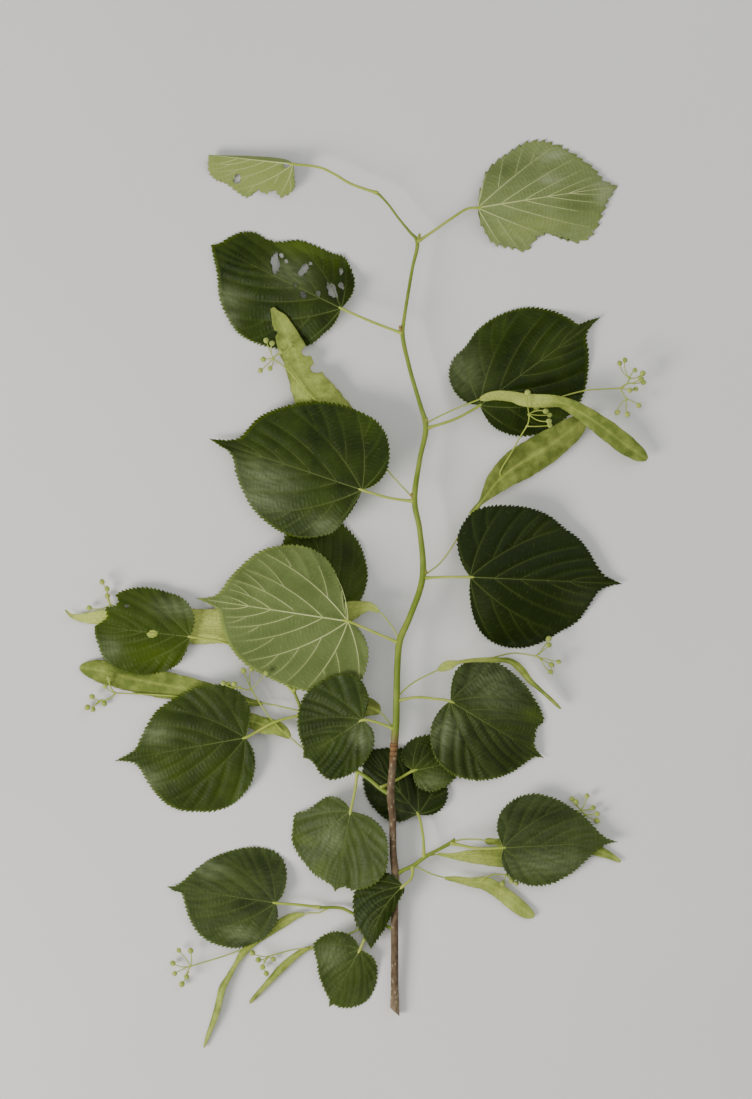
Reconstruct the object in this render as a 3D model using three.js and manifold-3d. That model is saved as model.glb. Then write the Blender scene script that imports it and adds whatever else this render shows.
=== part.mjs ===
// Cut linden branch in young fruit, lying on a table: a woody foot with a green shoot,
// three side shoots, nineteen leaves, and fourteen bracts with their fruit stalks.
// Millimetres, +Z up, the table at Z = 0, the shoot running along +Y from its cut end.
import * as THREE from "three";
import { mergeVertices } from "three/addons/utils/BufferGeometryUtils.js";
import Module from "manifold-3d";

const wasm = await Module();
wasm.setup();

// Driving sizes.
const LEAF_THICKNESS = 1.0;
const BRACT_THICKNESS = 1.15;
const PETIOLE_RADIUS = 1.0; // where it leaves the shoot
const PETIOLE_TIP_RADIUS = 0.8; // under the blade
const PETIOLE_INTO_BLADE = 7; // length that runs on under the midrib
const STALK_RADIUS = 0.6; // bract stalk and fruit stalk
const PEDICEL_RADIUS = 0.42;
const KNOT_RADIUS = 0.9; // swelling where a fruit stalk forks
const FRUIT_RADIUS = 1.8;
const BUD_RADIUS = 1.2;
const JOINT_GAP = 0.3; // clear space between a stalk and the shoot that carries it
const PRESS_DEPTH = 2.5; // over this height a sinking blade eases flat on to the table
const MARGIN_DROOP_POWER = 1.6; // how late a blade turns down towards its margin

// Mesh fineness.
const BLADE_RINGS = [0.52, 1]; // shares of the way from the joint to the margin
const STEM_SIDES = 10;
const SHOOT_SIDES = 8;
const PETIOLE_SIDES = 5;
const STALK_SIDES = 5;
const PEDICEL_SIDES = 3;
const TUBE_STEP = 18;
const KNOT_FACES = [4, 3]; // round and down
const FRUIT_FACES = [6, 3];
const BUD_FACES = [6, 3];

const MATERIALS = {
  bark: new THREE.MeshStandardMaterial({ color: 0x6e5a45, roughness: 0.85, metalness: 0 }),
  green_stem: new THREE.MeshStandardMaterial({ color: 0x7f8f3a, roughness: 0.6, metalness: 0 }),
  leaf_upper: new THREE.MeshStandardMaterial({ color: 0x43601f, roughness: 0.45, metalness: 0 }),
  leaf_underside: new THREE.MeshStandardMaterial({ color: 0x8c9c70, roughness: 0.7, metalness: 0 }),
  bract: new THREE.MeshStandardMaterial({ color: 0xb4c07a, roughness: 0.6, metalness: 0 }),
};

// Limbs: centreline points with the radius there, [x, y, z, radius], from foot to tip.
// cut: how far the cut at the foot runs back per unit across; on and at: the limb that carries
// this one, and where; buds: the nodes that have one.
const LIMBS = {
  wood: {
    node: "main_stem_old_wood",
    material: "bark",
    sides: STEM_SIDES,
    cut: [0.9, 0, 0],
    line: [
      [23.8, -260, 3, 2.9],
      [23.7, -245, 4.2, 2.4],
      [23.7, -225, 5.4, 2.35],
      [23.7, -204, 6.5, 2.3],
      [23.8, -189, 7.6, 2.3],
      [24.2, -175, 9.6, 2.45],
      [22.9, -161, 12, 2.2],
      [22.4, -138.5, 14.5, 2.2],
      [21.2, -124, 15.7, 2.4],
      [22.4, -105.5, 16.6, 2.2],
      [23.3, -92, 17.2, 2.5],
    ],
  },
  green: {
    node: "main_stem_green_shoot",
    material: "green_stem",
    sides: SHOOT_SIDES,
    line: [
      [23.6, -89.5, 17.3, 2.5],
      [24.5, -79, 17.8, 2.15],
      [24.9, -61.5, 18.4, 2.1],
      [25.4, -43, 18.8, 2],
      [26.8, -28.5, 19, 2.15],
      [33.5, -12.5, 19.2, 1.9],
      [41, 11, 19.3, 2],
      [39.2, 40.5, 18.8, 1.7],
      [36, 58.5, 18.4, 1.85],
      [39.2, 84, 17.5, 1.55],
      [43, 104.5, 16.8, 1.7],
      [39.4, 118.5, 16.3, 1.4],
      [33.2, 140, 15.8, 1.3],
      [28.6, 162, 15.2, 1.4],
      [29.5, 171, 15, 1.15],
      [34.5, 202, 14.2, 1.05],
      [37.6, 220, 13.8, 1.2],
      [33.2, 225.5, 13.6, 0.9],
      [27, 233, 13.3, 0.8],
      [19.6, 243, 12.8, 0.75],
      [13.4, 249.7, 12.4, 0.9],
    ],
    buds: [
      [27.3, 164.6, 16.4],
      [41.6, 108.1, 18],
      [37.9, 222, 15.1],
    ],
  },
  left: {
    node: "side_shoot_left",
    material: "green_stem",
    sides: PETIOLE_SIDES,
    on: "wood",
    at: [21.2, -124],
    line: [
      [14.6, -120, 14.2, 1.2],
      [7.8, -114.5, 12.2, 1.1],
      [0.3, -109.5, 10.6, 1.2],
      [-13.4, -97, 9.2, 1],
      [-24, -84.5, 8.6, 1],
      [-33.2, -73.5, 8.3, 1.1],
      [-37, -65, 8, 0.95],
      [-41.3, -53.5, 7.4, 0.95],
    ],
  },
  right: {
    node: "side_shoot_right",
    material: "green_stem",
    sides: PETIOLE_SIDES,
    on: "wood",
    at: [24.2, -174],
    line: [
      [29.5, -171, 10.4, 1.25],
      [35, -168.5, 11.2, 1.3],
      [43.2, -162.5, 12, 1.25],
      [50.6, -158.5, 12, 1.05],
      [58.7, -154, 11.5, 1.15],
      [61.2, -151.5, 11.6, 0.6],
    ],
  },
  low: {
    node: "side_shoot_low",
    material: "green_stem",
    sides: PETIOLE_SIDES,
    on: "wood",
    at: [23.7, -208],
    line: [
      [17.1, -206, 5.4, 1],
      [10.2, -202.5, 4.4, 1],
      [-1.6, -199, 3.6, 0.95],
      [-9.6, -195.5, 3.6, 1.05],
      [-22.7, -195, 3.6, 0.9],
    ],
  },
};

// Half of a blade's outline. height: of its margin at its widest; margin: the places it passes
// from beside the joint round to the tip, [along, across] the midrib, across positive.
function half(height, margin) {
  const [wideAt, width] = margin.reduce((a, b) => (b[1] > a[1] ? b : a));
  return { height, margin, wideAt, width };
}

// Leaves: joint and tip of the blade [x, y, z] and its two halves, left and right of the way from
// joint to tip. arch: rise of the midrib between its ends; bend: sideways bow of the midrib.

const LEAVES = {
  leaf_top_left: {
    joint: [-39.4, 268, 11],
    tip: [-92.2, 274.5, 4],
    left: half(-2, [
      [-1.5, 7.5], [-2, 15], [5, 20.5], [10, 17], [15.5, 19.5], [20.5, 18], [26.5, 23], [33, 20.5],
      [39.5, 16.5], [47, 14.5], [51, 11.5], [53, 6],
    ]),
    right: half(4, [
      [4, 2.5], [16.5, 3], [31, 2], [45, 0.5],
    ]),
    underside: true,
    petiole: {
      limb: "green",
      at: [13.4, 249.7],
      via: [[-4, 255.9, 12], [-13.4, 261.5, 11.8], [-22.7, 265.8, 11.5]],
    },
  },
  leaf_top_right: {
    joint: [75.5, 241, 10],
    tip: [163, 255.3, 1],
    left: half(-3, [
      [2.5, 9], [5.5, 14], [8, 20], [13.5, 25.5], [24, 31], [39, 36.5], [53, 33], [64.5, 24.5],
      [76, 13], [80.5, 5],
    ]),
    right: half(-3, [
      [0, 6.5], [1.5, 12.5], [6, 22.5], [16, 27], [26.5, 30.5], [32, 25], [39.5, 22], [50, 27],
      [59, 30.5], [68, 27.5], [74, 19.5], [80.5, 9],
    ]),
    underside: true,
    arch: 3,
    petiole: {
      limb: "green",
      at: [38.2, 219.9],
      via: [[45.7, 224.8, 13], [58.1, 233.5, 12], [69.3, 240.4, 11]],
    },
  },
  leaf_upper_left: {
    joint: [-9.6, 178.3, 12],
    tip: [-91, 218.6, 0],
    left: half(-3, [
      [-0.5, 4.5], [0, 12], [3, 19], [7.5, 28.5], [21.5, 38], [34.5, 42], [50.5, 42], [63, 35],
      [72, 26.5], [79, 15], [85, 7.5], [89, 2.5],
    ]),
    right: half(-3, [
      [-1.5, 5.5], [-2, 12.5], [1, 20.5], [8, 27], [12.5, 30], [21, 29], [33, 28.5], [43, 27],
      [53.5, 20.5], [61, 18.5], [69.5, 19], [76.5, 16], [82.5, 9.5], [86.5, 3],
    ]),
    arch: 1,
    petiole: { limb: "green", at: [28.3, 162.1], via: [[8.4, 170.2, 14]] },
  },
  leaf_upper_right: {
    joint: [76.7, 118, 11],
    tip: [152.2, 173.5, 3],
    left: half(-3, [
      [-5, 5.5], [-7.5, 14.5], [-4.5, 26], [3.5, 33], [15, 35], [28, 39], [45, 38], [61, 31.5],
      [72.5, 20], [78, 9], [79.5, 4.5], [86, 2.5],
    ]),
    right: half(-3, [
      [-1, 4.5], [-1, 15], [3, 23.5], [10, 31], [22, 36.5], [37, 38], [49.5, 36], [59.5, 30.5],
      [67.5, 22.5], [74.5, 13.5], [79, 5], [84, 1.5],
    ]),
    arch: 2,
    petiole: { limb: "green", at: [43.2, 103.1], via: [[61.2, 109.3, 15]] },
  },
  leaf_left_broad: {
    joint: [3.4, 65.2, 20],
    tip: [-92.2, 97.5, 3],
    left: half(7, [
      [0.5, 6], [2, 13.5], [5, 23], [9, 30.5], [16.5, 36], [26, 40], [38, 41], [50, 38],
      [61, 32.5], [70.5, 24], [78, 15], [81.5, 8.5], [86.5, 3.5], [93, 2],
    ]),
    right: half(15, [
      [-4.5, 3.5], [-9, 10], [-10.5, 18.5], [-8.5, 28], [-3, 37.5], [5.5, 43.5], [15.5, 45.5],
      [28, 46], [41, 44], [54, 39], [66.5, 31], [75.5, 22.5], [80, 13], [83, 6.5], [90.5, 2.5],
    ]),
    petiole: { limb: "green", at: [36, 57.8], via: [[20.8, 60.2, 19.5]] },
  },
  leaf_left_hidden: {
    joint: [-10.2, -10.6, 5.5],
    tip: [-35.1, 60.9, 2.5],
    left: half(0, [
      [-2.5, 3.5], [-3.5, 10], [0.5, 17], [7.5, 22.5], [19, 25.5], [33, 26], [45, 23], [53.5, 19],
      [60.5, 12.5], [66, 5],
    ]),
    right: half(0.5, [
      [-2, 4.5], [1, 12], [8.5, 19.5], [17.5, 24], [27, 25.5], [37.5, 25], [47, 21.5],
      [55.5, 16.5], [61.5, 10], [67, 3],
    ]),
    arch: 0.5,
    petiole: { limb: "left", at: [-38.8, -60.2], via: [[-33.9, -37.3, 6.2], [-23.9, -21.7, 5.8]] },
  },
  leaf_left_pale: {
    joint: [-5.3, -16.1, 22],
    tip: [-100.3, -1.9, 9],
    left: half(11, [
      [-5.5, 2.5], [-11.5, 8.5], [-15, 16], [-15.5, 26.5], [-13, 36], [-3.5, 43.5], [9, 46.5],
      [21, 47], [34, 45], [49, 40.5], [61, 35], [70.5, 26.5], [77, 15.5], [81.5, 5], [88.5, 2],
    ]),
    right: half(13, [
      [2.5, 7.5], [6.5, 17], [12.5, 29], [19.5, 36.5], [27.5, 40.5], [36.5, 42], [47, 40.5],
      [57, 37], [65, 31], [72, 22.5], [77.5, 14.5], [80.5, 8], [84, 3.5], [90.5, 1],
    ]),
    underside: true,
    arch: 1,
    petiole: { limb: "green", at: [26.4, -29.2], via: [[9.6, -22.4, 20.5]] },
  },
  leaf_right_broad: {
    joint: [70.5, 11.2, 20.5],
    tip: [165.9, 6.8, 2],
    left: half(13, [
      [-4, 5.5], [-7.5, 13.5], [-9, 23], [-6.5, 32], [0, 40.5], [10, 44.5], [23.5, 45.5],
      [35.5, 44.5], [47.5, 40.5], [58.5, 32.5], [67.5, 26.5], [74.5, 18], [79.5, 10], [84.5, 4.5],
      [90.5, 2],
    ]),
    right: half(-3, [
      [0, 6.5], [1.5, 18], [5, 28.5], [11, 36.5], [20, 41.5], [30, 43], [40, 41.5], [49, 37.5],
      [58, 31.5], [68, 25], [74, 16.5], [77.5, 10.5], [81.5, 4.5], [88, 1.5],
    ]),
    petiole: { limb: "green", at: [40.7, 10.6], via: [[55, 11.2, 20]] },
  },
  leaf_far_left: {
    joint: [-103.4, -26.1, 8.5],
    tip: [-163.4, -19.6, 6.5],
    left: half(5, [
      [0.5, 3.5], [2.5, 10.5], [5.5, 17], [11, 21.5], [18, 24.5], [26.5, 27], [35, 27], [43.5, 25],
      [50, 21.5], [54, 17], [57, 11], [59.5, 5],
    ]),
    right: half(5, [
      [-1, 5.5], [-1, 12], [3, 19.5], [9, 24], [17.5, 26], [28, 27.5], [38, 26.5], [45, 24],
      [49, 21], [47, 17.5], [49, 14], [54.5, 12.5], [53, 6.5], [56.5, 3],
    ]),
    petiole: { limb: "left", at: [-38.8, -60.9], via: [[-58.7, -41.6, 6.8], [-79.8, -30.4, 6.8]] },
  },
  leaf_lower_left: {
    joint: [-69.3, -88.8, 11],
    tip: [-151.2, -103.7, 1],
    left: half(-3, [
      [-2, 4], [-3.5, 11], [-2.5, 19.5], [1.5, 28.5], [8, 35], [16, 40], [26.5, 42], [38, 40.5],
      [48.5, 37.5], [56.5, 32], [62, 24], [65.5, 16], [68.5, 7.5], [72, 3], [78, 1],
    ]),
    right: half(9.5, [
      [-2.5, 4.5], [-5, 10.5], [-6, 18], [-2.5, 27.5], [4, 33], [12.5, 36], [22.5, 36.5],
      [33.5, 34], [43, 30.5], [52, 26], [59, 18.5], [65, 10.5], [69, 5], [75.5, 2],
    ]),
    arch: 1,
    petiole: { limb: "left", at: [-33.2, -74.5], via: [[-50.6, -78.9, 10]] },
  },
  leaf_mid_left: {
    joint: [4, -77.3, 21],
    tip: [-33.2, -101.2, 13],
    left: half(14, [
      [-1, 3.5], [-1.5, 8.5], [1, 14.5], [6.5, 19.5], [15.5, 23.5], [24.5, 24.5], [32, 23],
      [38, 20], [40.5, 14], [40.5, 8], [41.5, 3],
    ]),
    right: half(18, [
      [-5, 4], [-9.5, 8.5], [-12, 15], [-12, 22], [-8, 28.5], [-1.5, 32], [7.5, 34], [16, 34],
      [24, 31.5], [30.5, 26.5], [35.5, 20], [39, 12.5], [41, 5],
    ]),
    petiole: { limb: "green", at: [23.9, -83.2], via: [[14.6, -79.5, 19]] },
  },
  leaf_mid_right: {
    joint: [58.4, -65.8, 20],
    tip: [117.1, -101.9, 0],
    left: half(7, [
      [-3, 5], [-6, 12], [-7, 19], [-4, 26.5], [3.5, 32.5], [13, 35.5], [24.5, 35], [35.5, 32.5],
      [44, 28.5], [52, 24], [56.5, 19.5], [55, 14], [57.5, 7.5], [59.5, 3.5], [64.5, 1],
    ]),
    right: half(12, [
      [-2, 4.5], [-3, 10], [-2.5, 18], [0.5, 24.5], [5.5, 31], [13, 36], [22, 38], [32, 37],
      [41.5, 33], [49.5, 26.5], [56, 18.5], [60, 9.5], [63.5, 2.5],
    ]),
    arch: 2,
    petiole: { limb: "green", at: [25.2, -65.2], via: [[37, -63.4, 19], [49.4, -64.3, 19.8]] },
  },
  leaf_under_stem: {
    joint: [38.2, -136.6, 6],
    tip: [5.3, -96.3, 3],
    left: half(0, [
      [1, 4], [3, 11], [9, 17], [18.5, 19], [28.5, 18], [37, 14], [43.5, 9], [48.5, 4],
    ]),
    right: half(1, [
      [-3, 2.5], [-6.5, 8.5], [-6.5, 15.5], [-3, 21.5], [3, 25.5], [10.5, 28], [18, 28],
      [27, 25.5], [35.5, 20.5], [43, 12.5], [48, 5],
    ]),
    petiole: { limb: "right", at: [42.5, -163.4], via: [[41.3, -149.7, 9]] },
  },
  leaf_small_right: {
    joint: [35.1, -109.3, 12.5],
    tip: [70.5, -102.5, 7],
    left: half(9, [
      [-3, 3.5], [-5.5, 9], [-3.5, 14.5], [1.5, 18.5], [7.5, 20], [15, 19.5], [21.5, 15.5],
      [27, 9.5], [31.5, 4],
    ]),
    right: half(9, [
      [-0.5, 5], [1.5, 10.5], [6.5, 14], [12.5, 15], [19.5, 13], [26.5, 8.5], [32, 3],
    ]),
    petiole: { limb: "left", at: [17.1, -121.7], via: [[25.8, -114.6, 10.8]] },
  },
  leaf_low_left: {
    joint: [-3.7, -134.2, 14.5],
    tip: [-13.4, -184.8, 7],
    left: half(16.2, [
      [0.5, 5.5], [1.5, 12.5], [4.5, 18.5], [10, 24], [17.5, 27], [26, 28.5], [34, 28], [41, 24],
      [46, 17.5], [48.5, 11], [47.5, 5], [49.5, 1.5],
    ]),
    right: half(0, [
      [-3.5, 3], [-6.5, 9.5], [-6, 15.5], [-0.5, 21.5], [6, 27.5], [9, 33.5], [17, 33.5],
      [25.5, 32.5], [32.5, 28], [38, 22], [43.5, 15], [46, 8.5], [48.5, 2.5],
    ]),
    petiole: { limb: "left", at: [0.3, -109.3], via: [[-0.9, -121.1, 12]] },
  },
  leaf_low_right: {
    joint: [91, -157.1, 13],
    tip: [163, -154, 5],
    left: half(8.5, [
      [-1.5, 5], [-3, 11.5], [-2.5, 16.5], [0, 22.5], [5.5, 28], [13, 31.5], [21.5, 32.5],
      [29.5, 30.5], [37.5, 27], [44, 22.5], [50.5, 18], [56, 12], [61, 6], [65.5, 2.5],
    ]),
    right: half(7.5, [
      [-1, 6], [0, 12.5], [3, 17.5], [8.5, 21.5], [15.5, 24.5], [23.5, 25], [31.5, 23.5], [39, 20],
      [45.5, 16], [50.5, 11.5], [55.5, 7], [60.5, 3], [66.5, 0.5],
    ]),
    arch: 1,
    petiole: { limb: "right", at: [58.7, -155.3], via: [[75.5, -157.5, 12.5]] },
  },
  leaf_bottom_left: {
    joint: [-50.6, -191.9, 7.5],
    tip: [-118.3, -182, 1.5],
    left: half(5, [
      [-2, 4.5], [-2.5, 10.5], [0, 17.5], [4.5, 23.5], [11.5, 28], [19.5, 31.5], [27, 32],
      [36, 30.5], [43.5, 27], [49.5, 21], [54, 13.5], [57, 6.5], [59.5, 2.5], [64.5, 2],
    ]),
    right: half(-2.5, [
      [-3, 4], [-4.5, 10], [-4.5, 17], [-2.5, 24], [2, 29.5], [9, 32], [18, 32], [27.5, 29.5],
      [36.5, 25.5], [44.5, 20.5], [50, 15.5], [55, 10], [58.5, 5.5], [63.5, 1],
    ]),
    arch: 1,
    petiole: { limb: "low", at: [-22.7, -195], via: [[-35.1, -193.2, 6.8]] },
  },
  leaf_folded: {
    joint: [28.9, -180.7, 14.8],
    tip: [9, -220.5, 8],
    left: half(11.5, [
      [1.5, 2.5], [8, 4.5], [17.5, 6], [28, 6], [37, 3.5],
    ]),
    right: half(7, [
      [-2.5, 6], [-2, 14.5], [3, 19], [10.5, 21], [20, 20], [27.5, 16.5], [34, 13], [38, 8],
      [41.5, 3.5],
    ]),
    arch: 1,
    bend: -4.5,
    petiole: { limb: "right", at: [35.1, -168.3], via: [[34.2, -175.8, 13]] },
  },
  leaf_bottom: {
    joint: [2.2, -220.8, 7],
    tip: [-17.3, -257.5, 0],
    left: half(-2.5, [
      [0, 4], [1, 9.5], [4.5, 14], [10.5, 17.5], [17, 19.5], [24.5, 19.5], [30.5, 17], [35.5, 12],
      [38.5, 6.5], [39, 1.5],
    ]),
    right: half(6.5, [
      [-2.5, 3.5], [-4.5, 8.5], [-4.5, 14.5], [-1.5, 20.5], [4, 25], [10.5, 27], [15.5, 24],
      [20.5, 19.5], [25.5, 16], [30.5, 11], [34.5, 6], [37.5, 2],
    ]),
    petiole: { limb: "low", at: [12.1, -203.7], via: [[7.1, -209.9, 5.8]] },
  },
};

const BRACTS = {
  bract_upper_left: {
    limb: "green",
    at: [36.3, 59.6],
    stalk: [[27, 68.9, 15], [20.2, 76.4, 13]],
    ribbon: [
      [14.6, 84.5, 10.5, 4, 0],
      [-2.8, 102.5, 8.6, 9, 0],
      [-22, 118.6, 8.4, 14, 0],
      [-28.3, 128, 8.6, 12.5, 0],
      [-33.9, 138.5, 8.2, 9.5, 0],
      [-37.6, 147.8, 8, 8.6, 0],
      [-41.6, 156.5, 7.6, 8.2, 0],
      [-44.6, 164, 7.1, 6.6, 0],
      [-47.8, 170.8, 7.1, 5.2, 0],
      [-50.9, 175.8, 7.2, 2.6, 0],
      [-52.5, 178.9, 7.2, 1.3, 0],
    ],
    peduncle: [[-23.9, 119.9, 10], [-35.1, 131.1, 11], [-42.5, 139.8, 11.5]],
    sprays: [
      {
        knot: [-51.9, 147.2, 11.5],
        fruits: [
          [-56.2, 158.4, 10], [-52.5, 156.5, 13], [-58.1, 146.6, 9], [-59.9, 139.8, 8],
          [-53.7, 141, 12],
        ],
      },
      {
        knot: [-48.8, 149.7, 11],
        fruits: [[-46.9, 151.6, 13.5], [-40.7, 155.9, 14]],
      },
    ],
  },
  bract_upper_right: {
    limb: "green",
    at: [43.2, 106.2],
    stalk: [[51.9, 111.2, 17], [64.3, 116.8, 17.5]],
    ribbon: [
      [76.7, 121.7, 17.5, 1, 30],
      [86, 123.9, 17, 4.5, 55],
      [96.6, 123, 16.5, 5.5, 55],
      [105.3, 121.1, 15.5, 4.6, 30],
      [117.1, 120.5, 15, 4.8, 35],
      [127.6, 119.9, 14.8, 5.4, 50],
      [136.3, 115.5, 14.5, 7, 55],
      [146.3, 109.3, 13, 6, 25],
      [157.5, 101.2, 11, 6.3, 5],
      [168, 93.2, 9, 6.2, 0],
      [176.1, 87.6, 7.5, 4.6, 0],
      [181.1, 84.5, 6.8, 1, 0],
    ],
    peduncle: [[123.9, 121.7, 16.5], [143.2, 127.3, 14], [153.7, 128, 13]],
    sprays: [
      {
        knot: [164.3, 128.6, 12],
        fruits: [[169.9, 127.3, 14], [173.6, 128, 12]],
      },
      {
        knot: [169.9, 134.8, 12],
        fruits: [[163.7, 144.1, 11], [166.8, 146, 13.5], [173, 139.8, 13], [178, 137.9, 11]],
      },
      {
        knot: [172.4, 131.7, 12.5],
        fruits: [[176.7, 134.2, 14], [178.6, 132.3, 10]],
      },
      {
        knot: [168, 121.7, 11],
        fruits: [[162.4, 113.7, 9], [168.6, 112.4, 8], [175.5, 118, 10]],
      },
    ],
  },
  bract_right_broad: {
    limb: "green",
    at: [40.7, 11.8],
    stalk: [[51.9, 19.9, 17], [61.2, 32.9, 14.5]],
    ribbon: [
      [70.5, 50.3, 11.6, 0.9, 0],
      [74.2, 54, 11, 1.6, 0],
      [78, 58.4, 10.4, 1.9, 0],
      [82.3, 64, 9.6, 4.4, 0],
      [87.9, 70.8, 9.2, 7.2, 0],
      [96.6, 78.3, 8.8, 9.6, 0],
      [107.8, 85.4, 8.2, 10.6, 0],
      [122, 94.4, 7.4, 9.5, 0],
      [133.9, 103.1, 6.2, 7.5, 0],
      [140.7, 108.7, 5.2, 4.5, 0],
      [145, 111.8, 4.6, 1, 0],
    ],
    peduncle: [[89.1, 75.2, 10.5], [97.2, 90.1, 11.5], [102.8, 100, 12]],
    sprays: [
      {
        knot: [105.9, 105, 12.5],
        fruits: [[120.2, 105.6, 11]],
      },
      {
        knot: [107.1, 112.4, 13],
        fruits: [
          [112.1, 116.8, 9], [117.7, 114.3, 11.5], [120.2, 112.1, 9], [119.6, 108.1, 13.5],
          [105.9, 125.5, 21.5],
        ],
      },
    ],
  },
  bract_left_tucked: {
    limb: "green",
    at: [25.8, -28],
    stalk: [[23.3, -21.7, 18.5], [20.2, -16.8, 17.5], [15.2, -11.2, 16]],
    ribbon: [
      [13.8, -10.2, 15.4, 1, 0],
      [8, -7.3, 14.4, 3, 20],
      [2.8, -7.8, 13.4, 4.6, 25],
      [-1.6, -9.2, 12.4, 6, 20],
      [-7.8, -11.2, 11.4, 6.5, 10],
      [-16.5, -13, 10.4, 6.8, 0],
      [-28.9, -13.7, 9.8, 6, 0],
      [-40.1, -13, 9.4, 3.6, 0],
      [-45.7, -12.7, 9.2, 1, 0],
    ],
  },
  bract_far_left: {
    limb: "left",
    at: [-41.3, -53.4],
    stalk: [[-47.5, -42.2, 6.3], [-53.7, -32.9, 4.8]],
    ribbon: [
      [-61.2, -26.1, 3.6, 1.2, 0],
      [-70.5, -22.4, 2.8, 6, 0],
      [-83.5, -19.9, 2.4, 10.5, 0],
      [-101.6, -19.6, 2.2, 10.8, 0],
      [-122, -18, 2, 10, 0],
      [-141.9, -16.1, 2, 7.5, 0],
      [-159.3, -14.3, 2, 4.8, 0],
      [-171.7, -14.3, 2.4, 2.6, 0],
      [-178, -13, 3, 1.3, 20],
      [-181.7, -9.3, 4, 0.5, 40],
    ],
    peduncle: [[-118.9, -16.8, 2.8], [-137.6, -10.6, 3]],
    sprays: [
      {
        knot: [-153.7, -6.2, 3.6],
        fruits: [[-158.7, 8.1, 6], [-155.6, 3.7, 6], [-166.8, -8.1, 4]],
      },
      {
        knot: [-155, -3.1, 3.4],
        fruits: [[-155.6, -0.6, 3]],
      },
    ],
  },
  bract_outer_left: {
    limb: "left",
    at: [-32.6, -72.7],
    stalk: [[-44.4, -70.2, 6.6], [-53.1, -68.3, 5.2]],
    ribbon: [
      [-58.7, -67.7, 4.8, 1.2, 50],
      [-67.4, -67.1, 4.4, 4, 50],
      [-81.7, -64, 3.6, 5.5, 20],
      [-97.2, -60.2, 2.8, 6.6, 0],
      [-110.9, -57.8, 2.3, 8, 0],
      [-128.3, -54.7, 2, 8.6, 0],
      [-145.7, -50.9, 1.8, 8, 0],
      [-160.6, -47.5, 1.8, 7, 0],
      [-168, -46, 1.9, 4.6, 0],
      [-173, -45.3, 2, 1, 0],
    ],
    peduncle: [[-100.3, -63.4, 3.6], [-118.9, -62.7, 3.4], [-135.7, -61.8, 3.6]],
    sprays: [
      {
        knot: [-150.6, -61.2, 4.6],
        fruits: [[-156.8, -57.1, 5.5]],
      },
      {
        knot: [-154.3, -54, 5.5],
        fruits: [[-154.3, -52.2, 5.5]],
      },
      {
        knot: [-159.3, -65.8, 4.6],
        fruits: [[-164.9, -63.4, 6], [-168, -70.2, 3.6], [-164.3, -71.4, 6], [-157.5, -67.7, 3]],
      },
    ],
  },
  bract_lower_left: {
    limb: "left",
    at: [-10.2, -100],
    stalk: [[-21.4, -100.6, 8.4], [-32, -96.3, 8]],
    ribbon: [
      [-41.3, -88.8, 7.4, 1.2, 0],
      [-48.8, -83.2, 6.8, 4.5, 15],
      [-57.5, -81.4, 6, 5.2, 10],
      [-66.1, -78.3, 5, 4.6, 0],
      [-75.5, -75.2, 4.2, 4, 0],
      [-84.8, -72, 3.6, 2.2, 0],
      [-89.8, -70.2, 3.4, 0.8, 0],
    ],
    peduncle: [[-45.7, -85.1, 7.6], [-53.1, -77.6, 7.2], [-59.3, -68.9, 8.2]],
    sprays: [
      {
        knot: [-65.5, -59, 8],
        fruits: [[-70.5, -47.2, 7], [-65.5, -46, 5.2], [-56.2, -48.4, 14.6]],
      },
      {
        knot: [-72.4, -57.8, 11],
        fruits: [[-76.1, -55.3, 12], [-79.8, -55.3, 9.5], [-82.9, -54.7, 12]],
      },
    ],
  },
  bract_crumpled: {
    limb: "green",
    at: [23.3, -83.2],
    stalk: [[19.6, -78.3, 16.8], [16.5, -74.5, 16]],
    ribbon: [
      [14.6, -72.7, 15.4, 1.2, 0],
      [10.9, -70.8, 14.4, 5, 25],
      [6.5, -69.6, 13.4, 6.4, 20],
      [-1.6, -67.1, 12.4, 6, 0],
      [-9, -64.6, 11.8, 4.5, 0],
      [-15.2, -62.7, 11.6, 1, 0],
    ],
  },
  bract_mid_right: {
    limb: "green",
    at: [25.8, -63.4],
    stalk: [[30.1, -58.4, 18], [35.7, -54, 17.8], [43.8, -49.7, 17.6]],
    ribbon: [
      [50.6, -46.6, 17.6, 1, 40],
      [57.5, -43.2, 18, 3, 45],
      [63.7, -41.6, 18, 2.4, 60],
      [73, -40.4, 18, 3.4, 68],
      [85.4, -40.1, 17, 4.4, 68],
      [95.3, -41, 15.2, 4.6, 65],
      [102.2, -46.3, 12.8, 4, 58],
      [107.8, -53.1, 11, 3.4, 62],
      [114, -58.7, 9, 2.6, 62],
      [120.8, -64.9, 7, 2.2, 60],
      [127.3, -71.1, 5.5, 0.7, 50],
    ],
    peduncle: [[81.1, -39.8, 18], [87.9, -37.9, 17.5], [97.8, -36, 16]],
    sprays: [
      {
        knot: [111.5, -37.9, 13.6],
        fruits: [[125.8, -41.6, 10.5], [121.4, -43.5, 8]],
      },
      {
        knot: [113.4, -36.6, 12.6],
        fruits: [[119.6, -27.3, 9], [119.6, -31.1, 12.4]],
      },
      {
        knot: [115.2, -40.4, 11.5],
        fruits: [[120.8, -47.8, 9]],
      },
    ],
  },
  bract_low_right_narrow: {
    limb: "right",
    at: [58.7, -153.4],
    stalk: [[65.5, -152.2, 11], [76.1, -152.2, 10]],
    ribbon: [
      [79.8, -152.8, 9.4, 1, 0],
      [85.4, -153.7, 8.6, 3.2, 50],
      [92.2, -154, 7.6, 4, 35],
      [107.8, -154.7, 5.4, 5, 0],
      [126.4, -155.3, 3.6, 5.5, 0],
      [145, -157.8, 2.4, 4.2, 0],
      [157.5, -162.7, 1.9, 2.4, 0],
      [164.9, -166.5, 1.8, 0.8, 0],
    ],
    peduncle: [[101.6, -154, 5], [117.1, -147.2, 3.8], [130.1, -139.8, 3.2]],
    sprays: [
      {
        knot: [140.1, -134.2, 3.2],
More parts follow.
